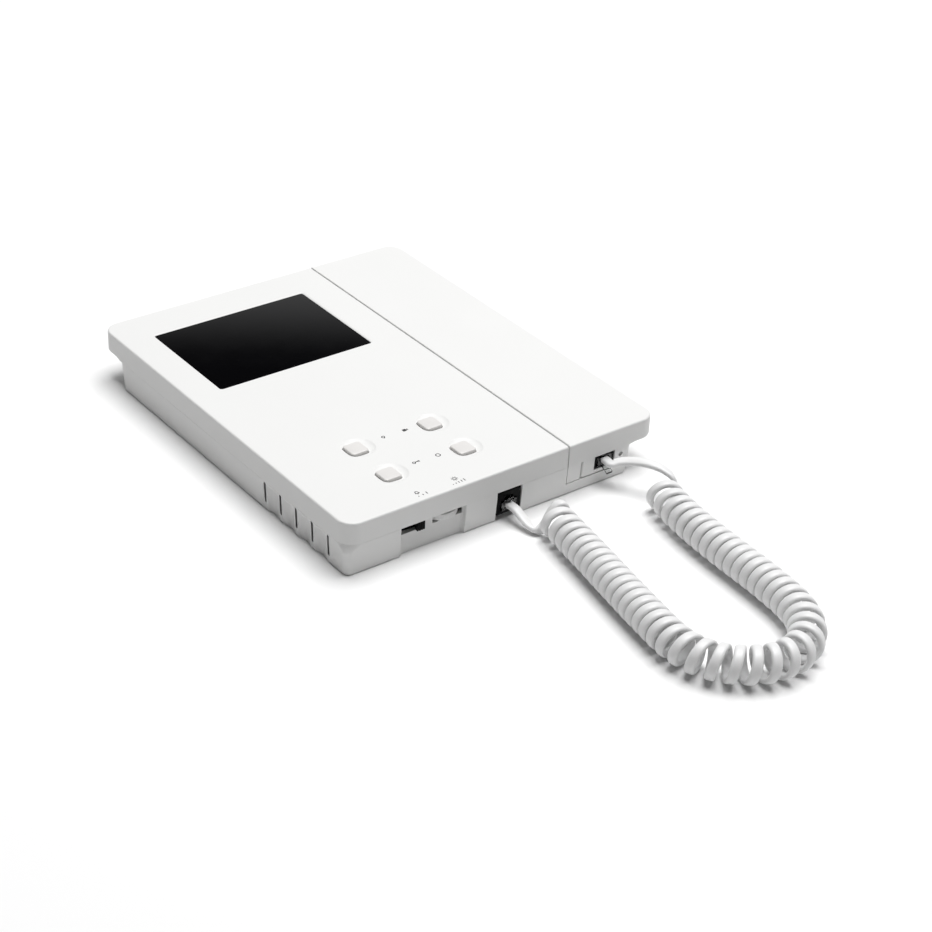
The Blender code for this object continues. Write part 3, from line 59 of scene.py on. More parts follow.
# Rear housing
# A deep tray injection moulded in white ABS, screwed to the front cover from behind through four posts.
# Its left wall is fluted round the sounder's slots, and its lower end wall holds the controls and the jack.
GAP = 0.3 * MM
PARTING_GAP = 0.05 * MM
WALL = 2.2 * MM
DRAFT = 0.8 * MM
FLANGE = 1.2 * MM
FOOT_ROUND = 0.6 * MM
BODY_CORNER = 3 * MM
LIP_CORNER = 7.5 * MM
CORNER_BLEND = 3.2 * MM
SIDE_OVERHANG = 13 * MM
TOP_OVERHANG = 15.5 * MM
CRADLE_FLOOR = 5.2 * MM
FAR = 20 * MM

cover_low, cover_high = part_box("front_cover")
lid_low, lid_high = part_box("handset_front")
LEFT, LOWER_END, COVER_BOTTOM = cover_low
COVER_RIGHT, UPPER_END, FACE = cover_high.x, cover_high.y, lid_high.z
RIGHT = lid_high.x
HOUSING_TOP = COVER_BOTTOM - PARTING_GAP
BODY_RIGHT = RIGHT - SIDE_OVERHANG
BODY_TOP = UPPER_END - TOP_OVERHANG


def linear(colour):
    """A colour written as #rrggbb, in the linear values that a shader takes."""
    shares = [int(colour[i : i + 2], 16) / 255 for i in (1, 3, 5)]
    return (*(s / 12.92 if s <= 0.04045 else ((s + 0.055) / 1.055) ** 2.4 for s in shares), 1.0)


def add_node(finish, kind, inputs, **settings):
    """Adds a node to a material or world. An input that is a socket is linked, and any other is set."""
    node = finish.node_tree.nodes.new(kind)
    for name, value in settings.items():
        setattr(node, name, value)
    for name, value in inputs.items():
        if isinstance(value, bpy.types.NodeSocket):
            finish.node_tree.links.new(value, node.inputs[name])
        else:
            node.inputs[name].default_value = value
    return node


MOULD_FLOW = 38 * MM


def moulded(name, colour, drift, grain, sheen, relief, **surface):
    """A skin whose colour drifts with the flow in its mould and whose grain breaks up the gloss."""
    finish = bpy.data.materials.new(name)
    finish.use_nodes = True
    finish.node_tree.nodes.clear()
    spot = add_node(finish, "ShaderNodeTexCoord", {}).outputs["Object"]
    fine = add_node(finish, "ShaderNodeTexNoise", {"Vector": spot, "Scale": 1 / grain, "Detail": 3.0})
    flow = add_node(finish, "ShaderNodeTexNoise", {"Vector": spot, "Scale": 1 / MOULD_FLOW, "Detail": 2.0})
    tint = add_node(
        finish, "ShaderNodeMixRGB",
        {"Fac": flow.outputs["Fac"], "Color1": linear(colour), "Color2": linear(drift)},
    )
    gloss = add_node(
        finish, "ShaderNodeMapRange", {"Value": fine.outputs["Fac"], "To Min": sheen[0], "To Max": sheen[1]}
    )
    bump = add_node(
        finish, "ShaderNodeBump", {"Height": fine.outputs["Fac"], "Strength": relief, "Distance": 0.05 * MM}
    )
    inputs = {
        "Base Color": tint.outputs["Color"], "Roughness": gloss.outputs["Result"],
        "Normal": bump.outputs["Normal"],
    }
    inputs.update({word.replace("_", " "): value for word, value in surface.items()})
    skin = add_node(finish, "ShaderNodeBsdfPrincipled", inputs)
    add_node(finish, "ShaderNodeOutputMaterial", {"Surface": skin.outputs["BSDF"]})
    return finish


# White ABS from a spark-eroded mould: a satin skin that spreads each highlight, with a barely seen grain.
# The real grain is about 0.06 mm, too fine to show, so it is drawn six times as coarse and very shallow.
# Its white is a little darker than the real plastic's, so that the side walls come out as grey as they should.
white_abs = moulded("white_abs_spark_eroded", "#e0e0df", "#e3e3e2", 0.36 * MM, (0.40, 0.52), 0.08, IOR=1.53)


def rounded(low, high, radii, steps=12):
    """Outline of a rectangle with its own radius at each corner, anticlockwise from the lower left one."""
    corners = (
        (low[0], low[1], 1, 1), (high[0], low[1], -1, 1),
        (high[0], high[1], -1, -1), (low[0], high[1], 1, -1),
    )
    points = []
    for quarter, ((x, y, in_x, in_y), radius) in enumerate(zip(corners, radii)):
        for step in range(steps + 1):
            angle = math.pi + (quarter + step / steps) * math.pi / 2
            points.append((x + radius * (in_x + math.cos(angle)), y + radius * (in_y + math.sin(angle))))
    return points


def solid(name, rings):
    """A closed mesh through rings with as many points each, capped at both ends."""
    shape = bmesh.new()
    loops = [[shape.verts.new(point) for point in ring] for ring in rings]
    count = len(loops[0])
    for lower, upper in zip(loops, loops[1:]):
        for i in range(count):
            j = (i + 1) % count
            shape.faces.new((lower[i], lower[j], upper[j], upper[i]))
    shape.faces.new(loops[0])
    shape.faces.new(loops[-1])
    bmesh.ops.recalc_face_normals(shape, faces=shape.faces)
    mesh = bpy.data.meshes.new(name)
    shape.to_mesh(mesh)
    shape.free()
    piece = bpy.data.objects.new(name, mesh)
    bpy.context.scene.collection.objects.link(piece)
    return piece


def prism(outline, low, high, axis="Z"):
    """An outline drawn out along an axis, as a tool or as the start of a piece."""
    order = {"X": (2, 0, 1), "Y": (0, 2, 1), "Z": (0, 1, 2)}[axis]
    rings = [[[(a, b, level)[i] for i in order] for a, b in outline] for level in (low, high)]
    return solid("tool", rings)


def brick(low, high):
    outline = [(low[0], low[1]), (high[0], low[1]), (high[0], high[1]), (low[0], high[1])]
    return prism(outline, low[2], high[2])


def circle(centre, radius, sides=40):
    turns = [2 * math.pi * i / sides for i in range(sides)]
    return [(centre[0] + radius * math.cos(t), centre[1] + radius * math.sin(t)) for t in turns]


def combine(piece, tools, operation):
    """Joins the tools to the piece, or cuts them from it, and clears them away."""
    group = bpy.data.collections.new("tools")
    for tool in tools:
        group.objects.link(tool)
    step = piece.modifiers.new(operation, "BOOLEAN")
    step.operation = operation
    step.operand_type = "COLLECTION"
    step.collection = group
    step.solver = "EXACT"
    graph = bpy.context.evaluated_depsgraph_get()
    made = bpy.data.meshes.new_from_object(piece.evaluated_get(graph))
    piece.modifiers.clear()
    piece.data = made
    for tool in tools:
        bpy.data.objects.remove(tool, do_unlink=True)
    bpy.data.collections.remove(group)


def place(piece, name, finish, body, nodes=(), ease=0.0):
    """Names a piece, rounds its sharp edges as a mould does, and puts it on its body."""
    piece.name = name
    piece.data.name = name
    shape = bmesh.new()
    shape.from_mesh(piece.data)
    bmesh.ops.remove_doubles(shape, verts=shape.verts, dist=0.002 * MM)
    bmesh.ops.dissolve_limit(
        shape, angle_limit=math.radians(0.3), verts=shape.verts, edges=shape.edges,
        use_dissolve_boundaries=False,
    )
    shape.to_mesh(piece.data)
    shape.free()
    piece.data.materials.clear()
    piece.data.materials.append(finish)
    piece.data.shade_smooth()
    if ease:
        edges = piece.modifiers.new("eased_edges", "BEVEL")
        edges.width = ease
        edges.segments = 3
        edges.limit_method = "ANGLE"
        edges.angle_limit = math.radians(38)
        flats = piece.modifiers.new("flat_faces", "WEIGHTED_NORMAL")
        flats.weight = 100
    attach(piece, body)
    if nodes:
        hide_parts(*nodes)
    return piece


def housing_ring(height, inset, near_corner):
    low = (LEFT + inset, LOWER_END + inset)
    high = (BODY_RIGHT - inset, BODY_TOP - inset)
    radii = (near_corner, BODY_CORNER, BODY_CORNER, BODY_CORNER)
    return [(x, y, height) for x, y in rounded(low, high, radii)]


rings = []
for step in range(5):
    angle = step * math.pi / 8
    inset = DRAFT + FOOT_ROUND * (1 - math.sin(angle))
    rings.append(housing_ring(FOOT_ROUND * (1 - math.cos(angle)), inset, BODY_CORNER))
for step in range(9):
    share = step / 8
    radius = BODY_CORNER + (LIP_CORNER - BODY_CORNER) * share**2 * (3 - 2 * share)
    height = HOUSING_TOP - CORNER_BLEND * (1 - share)
    rings.append(housing_ring(height, DRAFT * 0.1 * (1 - share), radius))
housing = solid("housing", rings)

BAY_LEFT = LEFT + 26.8 * MM
BAY_RIGHT = BAY_LEFT + 31.8 * MM
BAY_WALL = LOWER_END + 2.4 * MM
INNER_CORNER = LIP_CORNER - WALL
cavity_top = BODY_TOP - DRAFT - WALL
cavity_right = COVER_RIGHT - WALL
inner_corners = (INNER_CORNER, BODY_CORNER, BODY_CORNER, BODY_CORNER)
upper_room = rounded((LEFT + DRAFT + WALL, BAY_WALL + WALL), (cavity_right, cavity_top), inner_corners)
left_room = rounded(
    (LEFT + DRAFT + WALL, LOWER_END + DRAFT + WALL), (BAY_LEFT - WALL, BAY_WALL + FAR), inner_corners
)
combine(
    housing,
    [
        prism(upper_room, WALL, FACE),
        prism(left_room, WALL, FACE),
        brick((BAY_RIGHT + WALL, LOWER_END + DRAFT + WALL, WALL), (cavity_right, BAY_WALL + FAR, FACE)),
        brick((COVER_RIGHT, LOWER_END - FAR, CRADLE_FLOOR), (RIGHT, UPPER_END, FACE)),
    ],
    "DIFFERENCE",
)

# Screw posts, the handset's two locating bosses and the floor of the overhang at the display end
POST_RADIUS = 3.6 * MM
EAR_LOCATOR = 12 * MM
MOUTH_LOCATOR = 6 * MM
LOCATOR_HEIGHT = 3 * MM
CORING_DEPTH = 3 * MM
flange_end = UPPER_END - WALL - GAP
wall_back = BODY_TOP - DRAFT
board_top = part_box("main_board")[1].z


def middle_of(node):
    low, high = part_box(node)
    return ((low.x + high.x) / 2, (low.y + high.y) / 2)


housing_screws = {f"housing_screw_{i}": middle_of(f"housing_screw_{i}") for i in range(1, 5)}
EAR_AT = middle_of("receiver_capsule")
MOUTH_AT = (EAR_AT[0], LOWER_END + 37.5 * MM)
floor_outline = rounded(
    (LEFT + WALL + GAP, wall_back - WALL), (COVER_RIGHT - WALL - GAP, flange_end),
    (GAP, GAP, GAP, INNER_CORNER),
)
combine(
    housing,
    [prism(circle(centre, POST_RADIUS), WALL / 2, board_top - GAP) for centre in housing_screws.values()]
    + [
        prism(circle(EAR_AT, EAR_LOCATOR, 72), CORING_DEPTH, CRADLE_FLOOR + LOCATOR_HEIGHT),
        prism(circle(MOUTH_AT, MOUTH_LOCATOR, 56), CORING_DEPTH, CRADLE_FLOOR + LOCATOR_HEIGHT),
        brick(
            (LEFT + WALL + GAP, wall_back - WALL, HOUSING_TOP - FLANGE),
            (COVER_RIGHT - WALL - GAP, wall_back - GAP, COVER_BOTTOM + FLANGE),
        ),
        prism(floor_outline, COVER_BOTTOM, COVER_BOTTOM + FLANGE),
    ],
    "UNION",
)

# Keyholes, cable entry, screw wells and the cells that core out the cradle floor, all in the rear face
KEYHOLE_HEAD = 4.5 * MM
KEYHOLE_SLOT = 2.2 * MM
KEYHOLE_RISE = 9 * MM
MIDDLE = (LEFT + COVER_RIGHT) / 2
SCREW_HEAD = 2.2 * MM
SCREW_WELL = 3.1 * MM
SCREW_HOLE = 1.75 * MM
cuts = []
for side in (-1, 1):
    x, y = MIDDLE + side * 30 * MM, BODY_TOP - 26 * MM
    spread = math.asin(KEYHOLE_SLOT / KEYHOLE_HEAD)
    head = [math.pi / 2 + spread + (2 * math.pi - 2 * spread) * i / 40 for i in range(41)]
    tip = [math.pi * i / 16 for i in range(17)]
    outline = [(x + KEYHOLE_HEAD * math.cos(a), y + KEYHOLE_HEAD * math.sin(a)) for a in head]
    outline += [(x + KEYHOLE_SLOT * math.cos(a), y + KEYHOLE_RISE + KEYHOLE_SLOT * math.sin(a)) for a in tip]
    cuts.append(prism(outline, -WALL, 2 * WALL))
cable_entry = rounded((MIDDLE - 24 * MM, -14 * MM), (MIDDLE + 24 * MM, 16 * MM), (BODY_CORNER,) * 4)
cuts.append(prism(cable_entry, -WALL, 2 * WALL))
cuts.append(prism(circle((MIDDLE, LOWER_END + 31.5 * MM), 2.2 * MM), -WALL, 2 * WALL))
for node, centre in housing_screws.items():
    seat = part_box(node)[0].z + SCREW_HEAD
    cuts.append(prism(circle(centre, SCREW_WELL), -WALL, seat))
    cuts.append(prism(circle(centre, SCREW_HOLE, 24), seat - GAP, FACE))
CORING_CELLS = 9
CORING_RIB = 2 * MM
coring_low = (COVER_RIGHT + CORING_RIB, LOWER_END + WALL + DRAFT)
coring_high = (BODY_RIGHT - DRAFT - WALL, BODY_TOP - WALL - DRAFT)
cell = (coring_high[1] - coring_low[1] + CORING_RIB) / CORING_CELLS
for i in range(CORING_CELLS):
    start = coring_low[1] + cell * i
    outline = rounded((coring_low[0], start), (coring_high[0], start + cell - CORING_RIB), (1 * MM,) * 4, 4)
    cuts.append(prism(outline, -WALL, CORING_DEPTH))

# Sounder slots on the ridges between shallow flutes, which fade out below the lip
VENT_PITCH = 11.6 * MM
VENT_WIDTH = 1.5 * MM
VENT_BOTTOM = 3.7 * MM
VENT_TOP = HOUSING_TOP - 0.5 * MM
FLUTE_DEPTH = 1.25 * MM
FLUTE_FADE = 2.6 * MM
FLUTE_HALF = (VENT_PITCH - 1.0 * MM) / 2
vents = [LOWER_END + 13.1 * MM + VENT_PITCH * i for i in range(5)]
VENT_LAND = 0.3 * MM
VENT_FLARE = 2.4 * MM
VENT_FLARE_END = VENT_LAND + 1.6 * MM
for y in vents:
    levels = []
    for depth, spread in ((-WALL, 0), (VENT_LAND, 0), (VENT_FLARE_END, VENT_FLARE), (3 * WALL, VENT_FLARE)):
        side = VENT_WIDTH / 2 + spread
        corners = rounded((y - side, VENT_BOTTOM), (y + side, VENT_TOP), (0.3 * MM,) * 4, steps=3)
        levels.append([(LEFT + DRAFT * (1 - b / HOUSING_TOP) + depth, a, b) for a, b in corners])
    cuts.append(solid("tool", levels))
for near, far in zip(vents, vents[1:]):
    levels = []
    for step in range(14):
        share = step / 13
        height = VENT_TOP - FLUTE_FADE * (1 - share) if step else -WALL
        depth = FLUTE_DEPTH * math.sqrt(1 - (0.98 * share) ** 2)
        wall_x = LEFT + DRAFT * (1 - max(height, 0) / HOUSING_TOP)
        ring = []
        for i in range(33):
            across = i / 16 - 1
            dip = depth * math.cos(across * math.pi / 2) if abs(across) < 1 else -0.01 * MM
            ring.append((wall_x + dip, (near + far) / 2 + FLUTE_HALF * across, height))
        levels.append(ring + [(LEFT - WALL, far, height), (LEFT - WALL, near, height)])
    cuts.append(solid("tool", levels))

# Control bay with rounded ends, its two slots, and the notch for the jack
BAY_EDGE = 0.9 * MM
BAY_FILLET = 1.5 * MM
outline = []
quarter = [(math.cos(a), math.sin(a)) for a in np.linspace(0, math.pi / 2, 9)]
for side, x in ((1, BAY_LEFT), (-1, BAY_RIGHT)):
    half = [(x - side * BAY_EDGE, LOWER_END - FAR)]
    half += [(x - side * BAY_EDGE * (1 - b), LOWER_END + BAY_EDGE * (1 - a)) for a, b in quarter]
    half += [(x + side * BAY_FILLET * (1 - a), BAY_WALL - BAY_FILLET * (1 - b)) for a, b in quarter]
    outline += half if side > 0 else half[::-1]
cuts.append(prism(outline, -WALL, FACE))
lever_low, lever_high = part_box("volume_slider")
wheel_low, wheel_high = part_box("brightness_wheel")
wheel_x = (wheel_low.x + wheel_high.x) / 2
SLOT_LAND = 0.3 * MM
SLOT_FLARE = 2.2 * MM
for slot_low, slot_high, slot_floor in (
    (BAY_LEFT, lever_high.x + GAP, lever_low.z - GAP),
    (wheel_x - 7.4 * MM, wheel_x + 7.4 * MM, wheel_low.z - GAP),
):
    levels = []
    for depth, spread in ((-WALL, 0), (SLOT_LAND, 0), (WALL, SLOT_FLARE), (2 * WALL, SLOT_FLARE)):
        corners = rounded((slot_low, slot_floor), (slot_high + spread, FACE), (0.4 * MM,) * 4, steps=4)
        levels.append([(a, BAY_WALL + depth, b) for a, b in corners])
    cuts.append(solid("tool", levels))
JACK_NOTCH = 12.9 * MM
NOTCH_DEPTH = 6 * MM
base_jack_x = middle_of("base_jack")[0]
cuts.append(
    brick(
        (base_jack_x - JACK_NOTCH / 2, LOWER_END - FAR, -WALL),
        (base_jack_x + JACK_NOTCH / 2, LOWER_END + NOTCH_DEPTH, FACE),
    )
)
combine(housing, cuts, "DIFFERENCE")
place(housing, "rear_shell", white_abs, "base", ["rear_housing"], ease=0.22 * MM)

# Electronics in the housing
# The main board on its standoffs, the sounder behind the slots, the cable terminals and the reed switch.
# They are stock components, so each keeps its CAD shape and takes the finish of its kind.
# Solder mask over woven glass: glossy green that shows the copper below as lighter patches.
solder_mask = moulded("solder_mask_over_glass", "#0f4a2a", "#1d6a3c", 1.6 * MM, (0.22, 0.34), 0.3, IOR=1.5)
# Sintered ferrite and black enamelled cans: dull, with a coarse pressed grain.
ferrite = moulded("ferrite_pressed", "#2c2c2f", "#38383b", 0.5 * MM, (0.5, 0.7), 0.4)
# Green polyamide of screw terminals, slightly waxy.
green_polyamide = moulded("green_polyamide_moulded", "#1f7a48", "#2a8a55", 0.4 * MM, (0.35, 0.5), 0.15)
# Greenish soft glass, drawn as a tube.
reed_glass = moulded(
    "soft_glass_drawn", "#b9d6c6", "#c6ddd0", 2.0 * MM, (0.04, 0.08), 0.05, Transmission_Weight=0.9, IOR=1.5
)
# Black thermoplastic of switches and jacks: a deep satin black with a fine moulded grain.
black_plastic = moulded(
    "black_polyamide_moulded", "#050506", "#080809", 0.3 * MM, (0.45, 0.6), 0.2,
    IOR=1.45, Specular_IOR_Level=0.1,
)
# Zinc plate on steel: a bluish grey mirror, dulled by its fine crystals.
zinc_plate = moulded("zinc_plate_on_steel", "#b9bbbd", "#a7aaae", 0.12 * MM, (0.22, 0.42), 0.25, Metallic=1.0)
# The LCD's polariser film, nearly black when the display is off.
polariser = moulded("polariser_film", "#0b0c10", "#101116", 0.2 * MM, (0.1, 0.18), 0.05, IOR=1.5)
KEPT = {
    "main_board": solder_mask, "handset_board": solder_mask, "ringer_speaker": ferrite,
    "receiver_capsule": ferrite, "microphone_capsule": ferrite, "hook_magnet": zinc_plate,
    "terminal_block": green_polyamide, "reed_switch": reed_glass, "volume_switch": black_plastic,
    "brightness_pot": black_plastic, "light_tact_switch": black_plastic, "camera_tact_switch": black_plastic,
    "door_tact_switch": black_plastic, "privacy_tact_switch": black_plastic, "lcd_frame": zinc_plate,
    "lcd_panel": polariser,
}
for node, finish in KEPT.items():
    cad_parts[node].data.materials.clear()
    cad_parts[node].data.materials.append(finish)

# Screen window
# A smoked acrylic lens that fills the cover's bevelled opening from behind, with a dark display under it.
# Polished cast acrylic: a deep neutral black with sharp, faintly wavy reflections.
smoked_acrylic = moulded(
    "smoked_acrylic_polished", "#060607", "#08080a", 9 * MM, (0.03, 0.06), 0.02, IOR=1.49
)
SCREEN_BEVEL = 0.9 * MM
SCREEN_CORNER = 1.2 * MM
SCREEN_LOW = (LEFT + 15.7 * MM, UPPER_END - 76.3 * MM)
SCREEN_HIGH = (COVER_RIGHT - 17.2 * MM, UPPER_END - 19.3 * MM)
SCREEN_STEP = FACE - 0.65 * MM
lens_low, lens_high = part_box("screen_window")
lens = brick(lens_low, (lens_high.x, lens_high.y, FACE - WALL - GAP))
pane_low = (SCREEN_LOW[0] + GAP / 3, SCREEN_LOW[1] + GAP / 3)
pane_high = (SCREEN_HIGH[0] - GAP / 3, SCREEN_HIGH[1] - GAP / 3)
pane = rounded(pane_low, pane_high, (SCREEN_CORNER,) * 4)
combine(lens, [prism(pane, FACE - WALL - 2 * GAP, SCREEN_STEP)], "UNION")
place(lens, "screen_lens", smoked_acrylic, "base", ["screen_window"], ease=0.12 * MM)

# Front cover
# A shallow lid in the same white ABS that drops over the housing and carries the screen and the keys.
# Each key hole sits in a shallow finger dish. The rim is rounded below where it overhangs the display end.
EDGE_ROUND = 0.9 * MM
SEAM_ROUND = 0.35 * MM
UNDER_ROUND = 1.3 * MM
SEAM_CORNER = 0.3 * MM
PLATE_UNDERSIDE = FACE - WALL


def lid(name, outline, rim, under):
    """A block with a rounded upper and lower rim. Rim and under give the share of each round at a point."""
    points = []
    for (x, y), (next_x, next_y) in zip(outline, outline[1:] + outline[:1]):
        count = max(1, round(math.dist((x, y), (next_x, next_y)) / (2 * MM)))
        points += [(x + (next_x - x) * i / count, y + (next_y - y) * i / count) for i in range(count)]
    points = np.array(points)
    ahead = np.roll(points, -1, axis=0) - np.roll(points, 1, axis=0)
    inward = np.stack([-ahead[:, 1], ahead[:, 0]], axis=1) / np.linalg.norm(ahead, axis=1)[:, None]
    rim_share = np.array([rim(x, y) for x, y in points])[:, None]
    under_share = np.array([under(x, y) for x, y in points])[:, None]
    rings = []
    for angle in np.linspace(0, math.pi / 2, 8):
        height = COVER_BOTTOM + UNDER_ROUND * (1 - math.cos(angle))
        rings.append((points + inward * under_share * UNDER_ROUND * (1 - math.sin(angle)), height))
    for angle in np.linspace(0, math.pi / 2, 8):
        height = FACE - EDGE_ROUND * (1 - math.sin(angle))
        rings.append((points + inward * rim_share * EDGE_ROUND * (1 - math.cos(angle)), height))
    return solid(name, [[(x, y, height) for x, y in ring] for ring, height in rings])


def ramp(value, start, end):
    share = min(max((value - start) / (end - start), 0), 1)
    return share**2 * (3 - 2 * share)


cover = lid(
    "cover",
    rounded(
        (LEFT, LOWER_END), (COVER_RIGHT, UPPER_END), (LIP_CORNER, SEAM_CORNER, SEAM_CORNER, LIP_CORNER)
    ),
    lambda x, y: SEAM_ROUND / EDGE_ROUND if x > COVER_RIGHT - SEAM_CORNER else 1,
    lambda x, y: ramp(y, BODY_TOP, BODY_TOP + 6 * MM) if x < COVER_RIGHT - SEAM_CORNER else 0,
)
hollow = rounded(
    (LEFT + WALL, LOWER_END + WALL), (COVER_RIGHT - WALL, UPPER_END - WALL),
    (INNER_CORNER, GAP, GAP, INNER_CORNER),
)
combine(cover, [prism(hollow, COVER_BOTTOM - WALL, PLATE_UNDERSIDE)], "DIFFERENCE")
boss_top = FACE - WALL / 2
bosses = [prism(circle(centre, POST_RADIUS), board_top, boss_top) for centre in housing_screws.values()]
combine(cover, bosses, "UNION")

KEY = 8.4 * MM
KEY_CORNER = 1.4 * MM
DISH_RADIUS = 7.6 * MM
DISH_DEPTH = 0.95 * MM
DISH_SHIFT = (1.6 * MM, 0.5 * MM)
KEYS = {name: middle_of(f"{name}_button") for name in ("light", "camera", "door", "privacy")}


def square(centre, side, corner):
    low, high = (centre[0] - side / 2, centre[1] - side / 2), (centre[0] + side / 2, centre[1] + side / 2)
    return rounded(low, high, (corner,) * 4, steps=8)


cuts = [prism(circle(centre, SCREW_HOLE, 24), 0, PLATE_UNDERSIDE - GAP) for centre in housing_screws.values()]
opening = rounded(SCREEN_LOW, SCREEN_HIGH, (SCREEN_CORNER,) * 4)
flare = rounded(
    [c - SCREEN_BEVEL for c in SCREEN_LOW], [c + SCREEN_BEVEL for c in SCREEN_HIGH],
    (SCREEN_CORNER + SCREEN_BEVEL,) * 4,
)
levels = ((opening, PLATE_UNDERSIDE - WALL), (opening, SCREEN_STEP), (flare, FACE), (flare, FACE + WALL))
cuts.append(solid("tool", [[(x, y, height) for x, y in outline] for outline, height in levels]))
for centre in KEYS.values():
    cuts.append(prism(square(centre, KEY + 2 * GAP, KEY_CORNER + GAP), COVER_BOTTOM, FACE + WALL))
    middle = (centre[0] + DISH_SHIFT[0], centre[1] + DISH_SHIFT[1])
    levels = [(DISH_RADIUS * i / 16, FACE - DISH_DEPTH * (1 - (i / 16) ** 5)) for i in range(1, 17)]
    levels.append((DISH_RADIUS, FACE + WALL))
    cuts.append(solid("tool", [[(x, y, z) for x, y in circle(middle, r, 72)] for r, z in levels]))
combine(cover, cuts, "DIFFERENCE")
place(cover, "front_shell", white_abs, "base", ["front_cover"], ease=0.15 * MM)

# Printed symbols
# Small line symbols, pad printed on the cover beside the keys and above the two controls in the bay.
# Pad-print ink: a matt dark grey film, slightly uneven.
pad_ink = moulded("grey_pad_print_ink", "#353536", "#3f3f40", 0.25 * MM, (0.6, 0.8), 0.1)
INK_THICKNESS = 0.02 * MM
INK_TOP = FACE + INK_THICKNESS
ink = bmesh.new()


def stroke(points, width, closed=False):
    """A printed line of a given width through points in millimetres."""
    line = np.array(points, float)
    if closed:
        ahead = np.roll(line, -1, axis=0) - np.roll(line, 1, axis=0)
    else:
        ahead = np.gradient(line, axis=0)
    side = np.stack([-ahead[:, 1], ahead[:, 0]], axis=1) / np.linalg.norm(ahead, axis=1)[:, None] * width / 2
    lines = [[ink.verts.new((x * MM, y * MM, INK_TOP)) for x, y in line + side * s] for s in (-1, 1)]
    count = len(line)
    for i in range(count if closed else count - 1):
        j = (i + 1) % count
        ink.faces.new((lines[0][i], lines[0][j], lines[1][j], lines[1][i]))


def blot(points):
    """A printed patch with corners in millimetres."""
    ink.faces.new([ink.verts.new((x * MM, y * MM, INK_TOP)) for x, y in points])


# Lamp, camera, key and ring beside the four keys
stroke(circle((-29.0, -49.2), 0.66, 24), 0.4, closed=True)
stroke([(-29.25, -50.2), (-28.75, -50.2)], 0.36)
blot([(-19.3, -50.3), (-17.6, -50.3), (-17.6, -48.7), (-19.3, -48.7)])
blot([(-17.45, -49.7), (-16.8, -50.2), (-16.8, -48.8), (-17.45, -49.3)])
stroke(circle((-30.1, -72.75), 0.62, 20), 0.4, closed=True)
stroke([(-29.45, -72.65), (-28.7, -72.5), (-27.4, -72.25)], 0.42)
stroke([(-28.2, -72.4), (-28.08, -73.1)], 0.42)
stroke([(-27.55, -72.25), (-27.43, -73.1)], 0.42)
stroke(circle((-18.3, -73.1), 0.98, 28), 0.42, closed=True)
# Bell with three rising marks, and sun with five rising bars
BELL_SIDE = ((0.95, -0.62), (0.72, -0.3), (0.62, 0.15), (0.5, 0.55), (0.26, 0.8))
bell = [(-42.4 + x, -91.6 + y) for x, y in BELL_SIDE] + [(-42.4 - x, -91.6 + y) for x, y in BELL_SIDE[::-1]]
stroke(bell, 0.36)
stroke([bell[0], bell[-1]], 0.36)
stroke([(-42.7, -92.6), (-42.4, -92.75), (-42.1, -92.6)], 0.36)
for x, height in ((-43.2, 0.45), (-41.0, 0.8), (-39.0, 1.5)):
    blot([(x - 0.2, -94.5), (x + 0.2, -94.5), (x + 0.2, -94.5 + height), (x - 0.2, -94.5 + height)])
stroke(circle((-23.5, -91.4), 0.72, 20), 0.34, closed=True)
for i in range(8):
    way = (math.cos(i * math.pi / 4), math.sin(i * math.pi / 4))
    stroke([(-23.5 + r * way[0], -91.4 + r * way[1]) for r in (1.05, 1.5)], 0.34)
for i in range(5):
    x, height = -26.4 + i * 1.475, 0.4 + 0.32 * i
    blot([(x - 0.2, -94.9), (x + 0.2, -94.9), (x + 0.2, -94.9 + height), (x - 0.2, -94.9 + height)])
bmesh.ops.recalc_face_normals(ink, faces=ink.faces)
bmesh.ops.solidify(ink, geom=ink.faces[:], thickness=2 * INK_THICKNESS)
ink_mesh = bpy.data.meshes.new("symbols")
ink.to_mesh(ink_mesh)
ink.free()
symbols = bpy.data.objects.new("symbols", ink_mesh)
bpy.context.scene.collection.objects.link(symbols)
place(symbols, "printed_symbols", pad_ink, "base")

# Function keys
# Four square keys with pillowed tops, each with a collar under the cover that keeps it in its hole.
# Polished white ABS: a shade warmer and glossier than the cover.
key_abs = moulded("white_abs_polished", "#d9d7d5", "#dcdad8", 0.5 * MM, (0.3, 0.38), 0.04, IOR=1.53)
KEY_ROUND = 0.7 * MM
KEY_CROWN = 0.14 * MM
ROUND_SHARE = 0.86
COLLAR_REACH = 1.6 * MM
COLLAR_RAISED = 0.6 * MM
COLLAR_THICKNESS = 1 * MM
for name, centre in KEYS.items():
    low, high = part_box(f"{name}_button")
    shoulder = high.z - KEY_CROWN - KEY_ROUND
    levels = [(KEY, KEY_CORNER, low.z)]
    for angle in np.linspace(0, math.pi / 2, 9):
        inset = KEY_ROUND * (1 - math.cos(angle))
        corner = KEY_CORNER - 0.35 * inset
        levels.append((KEY - 2 * inset, corner, shoulder + KEY_ROUND * ROUND_SHARE * math.sin(angle)))
    flat = KEY - 2 * KEY_ROUND
    for share in (0.93, 0.84, 0.72, 0.58, 0.42, 0.24, 0.08):
        crown = KEY_CROWN + KEY_ROUND * (1 - ROUND_SHARE)
        rise = KEY_ROUND * ROUND_SHARE + crown * (1 - share**2)
        corner = KEY_CORNER * share + (flat / 2 - KEY_CORNER) * share * (1 - share)
        levels.append((flat * share, corner, shoulder + rise))
    key = solid("key", [[(x, y, z) for x, y in square(centre, side, corner)] for side, corner, z in levels])
    collar = square(centre, KEY + 2 * GAP + COLLAR_REACH, KEY_CORNER)
    collar_bottom = low.z + COLLAR_RAISED
    combine(key, [prism(collar, collar_bottom, collar_bottom + COLLAR_THICKNESS)], "UNION")
    place(key, f"{name}_key", key_abs, f"{name}_button", [f"{name}_button"], ease=0.12 * MM)

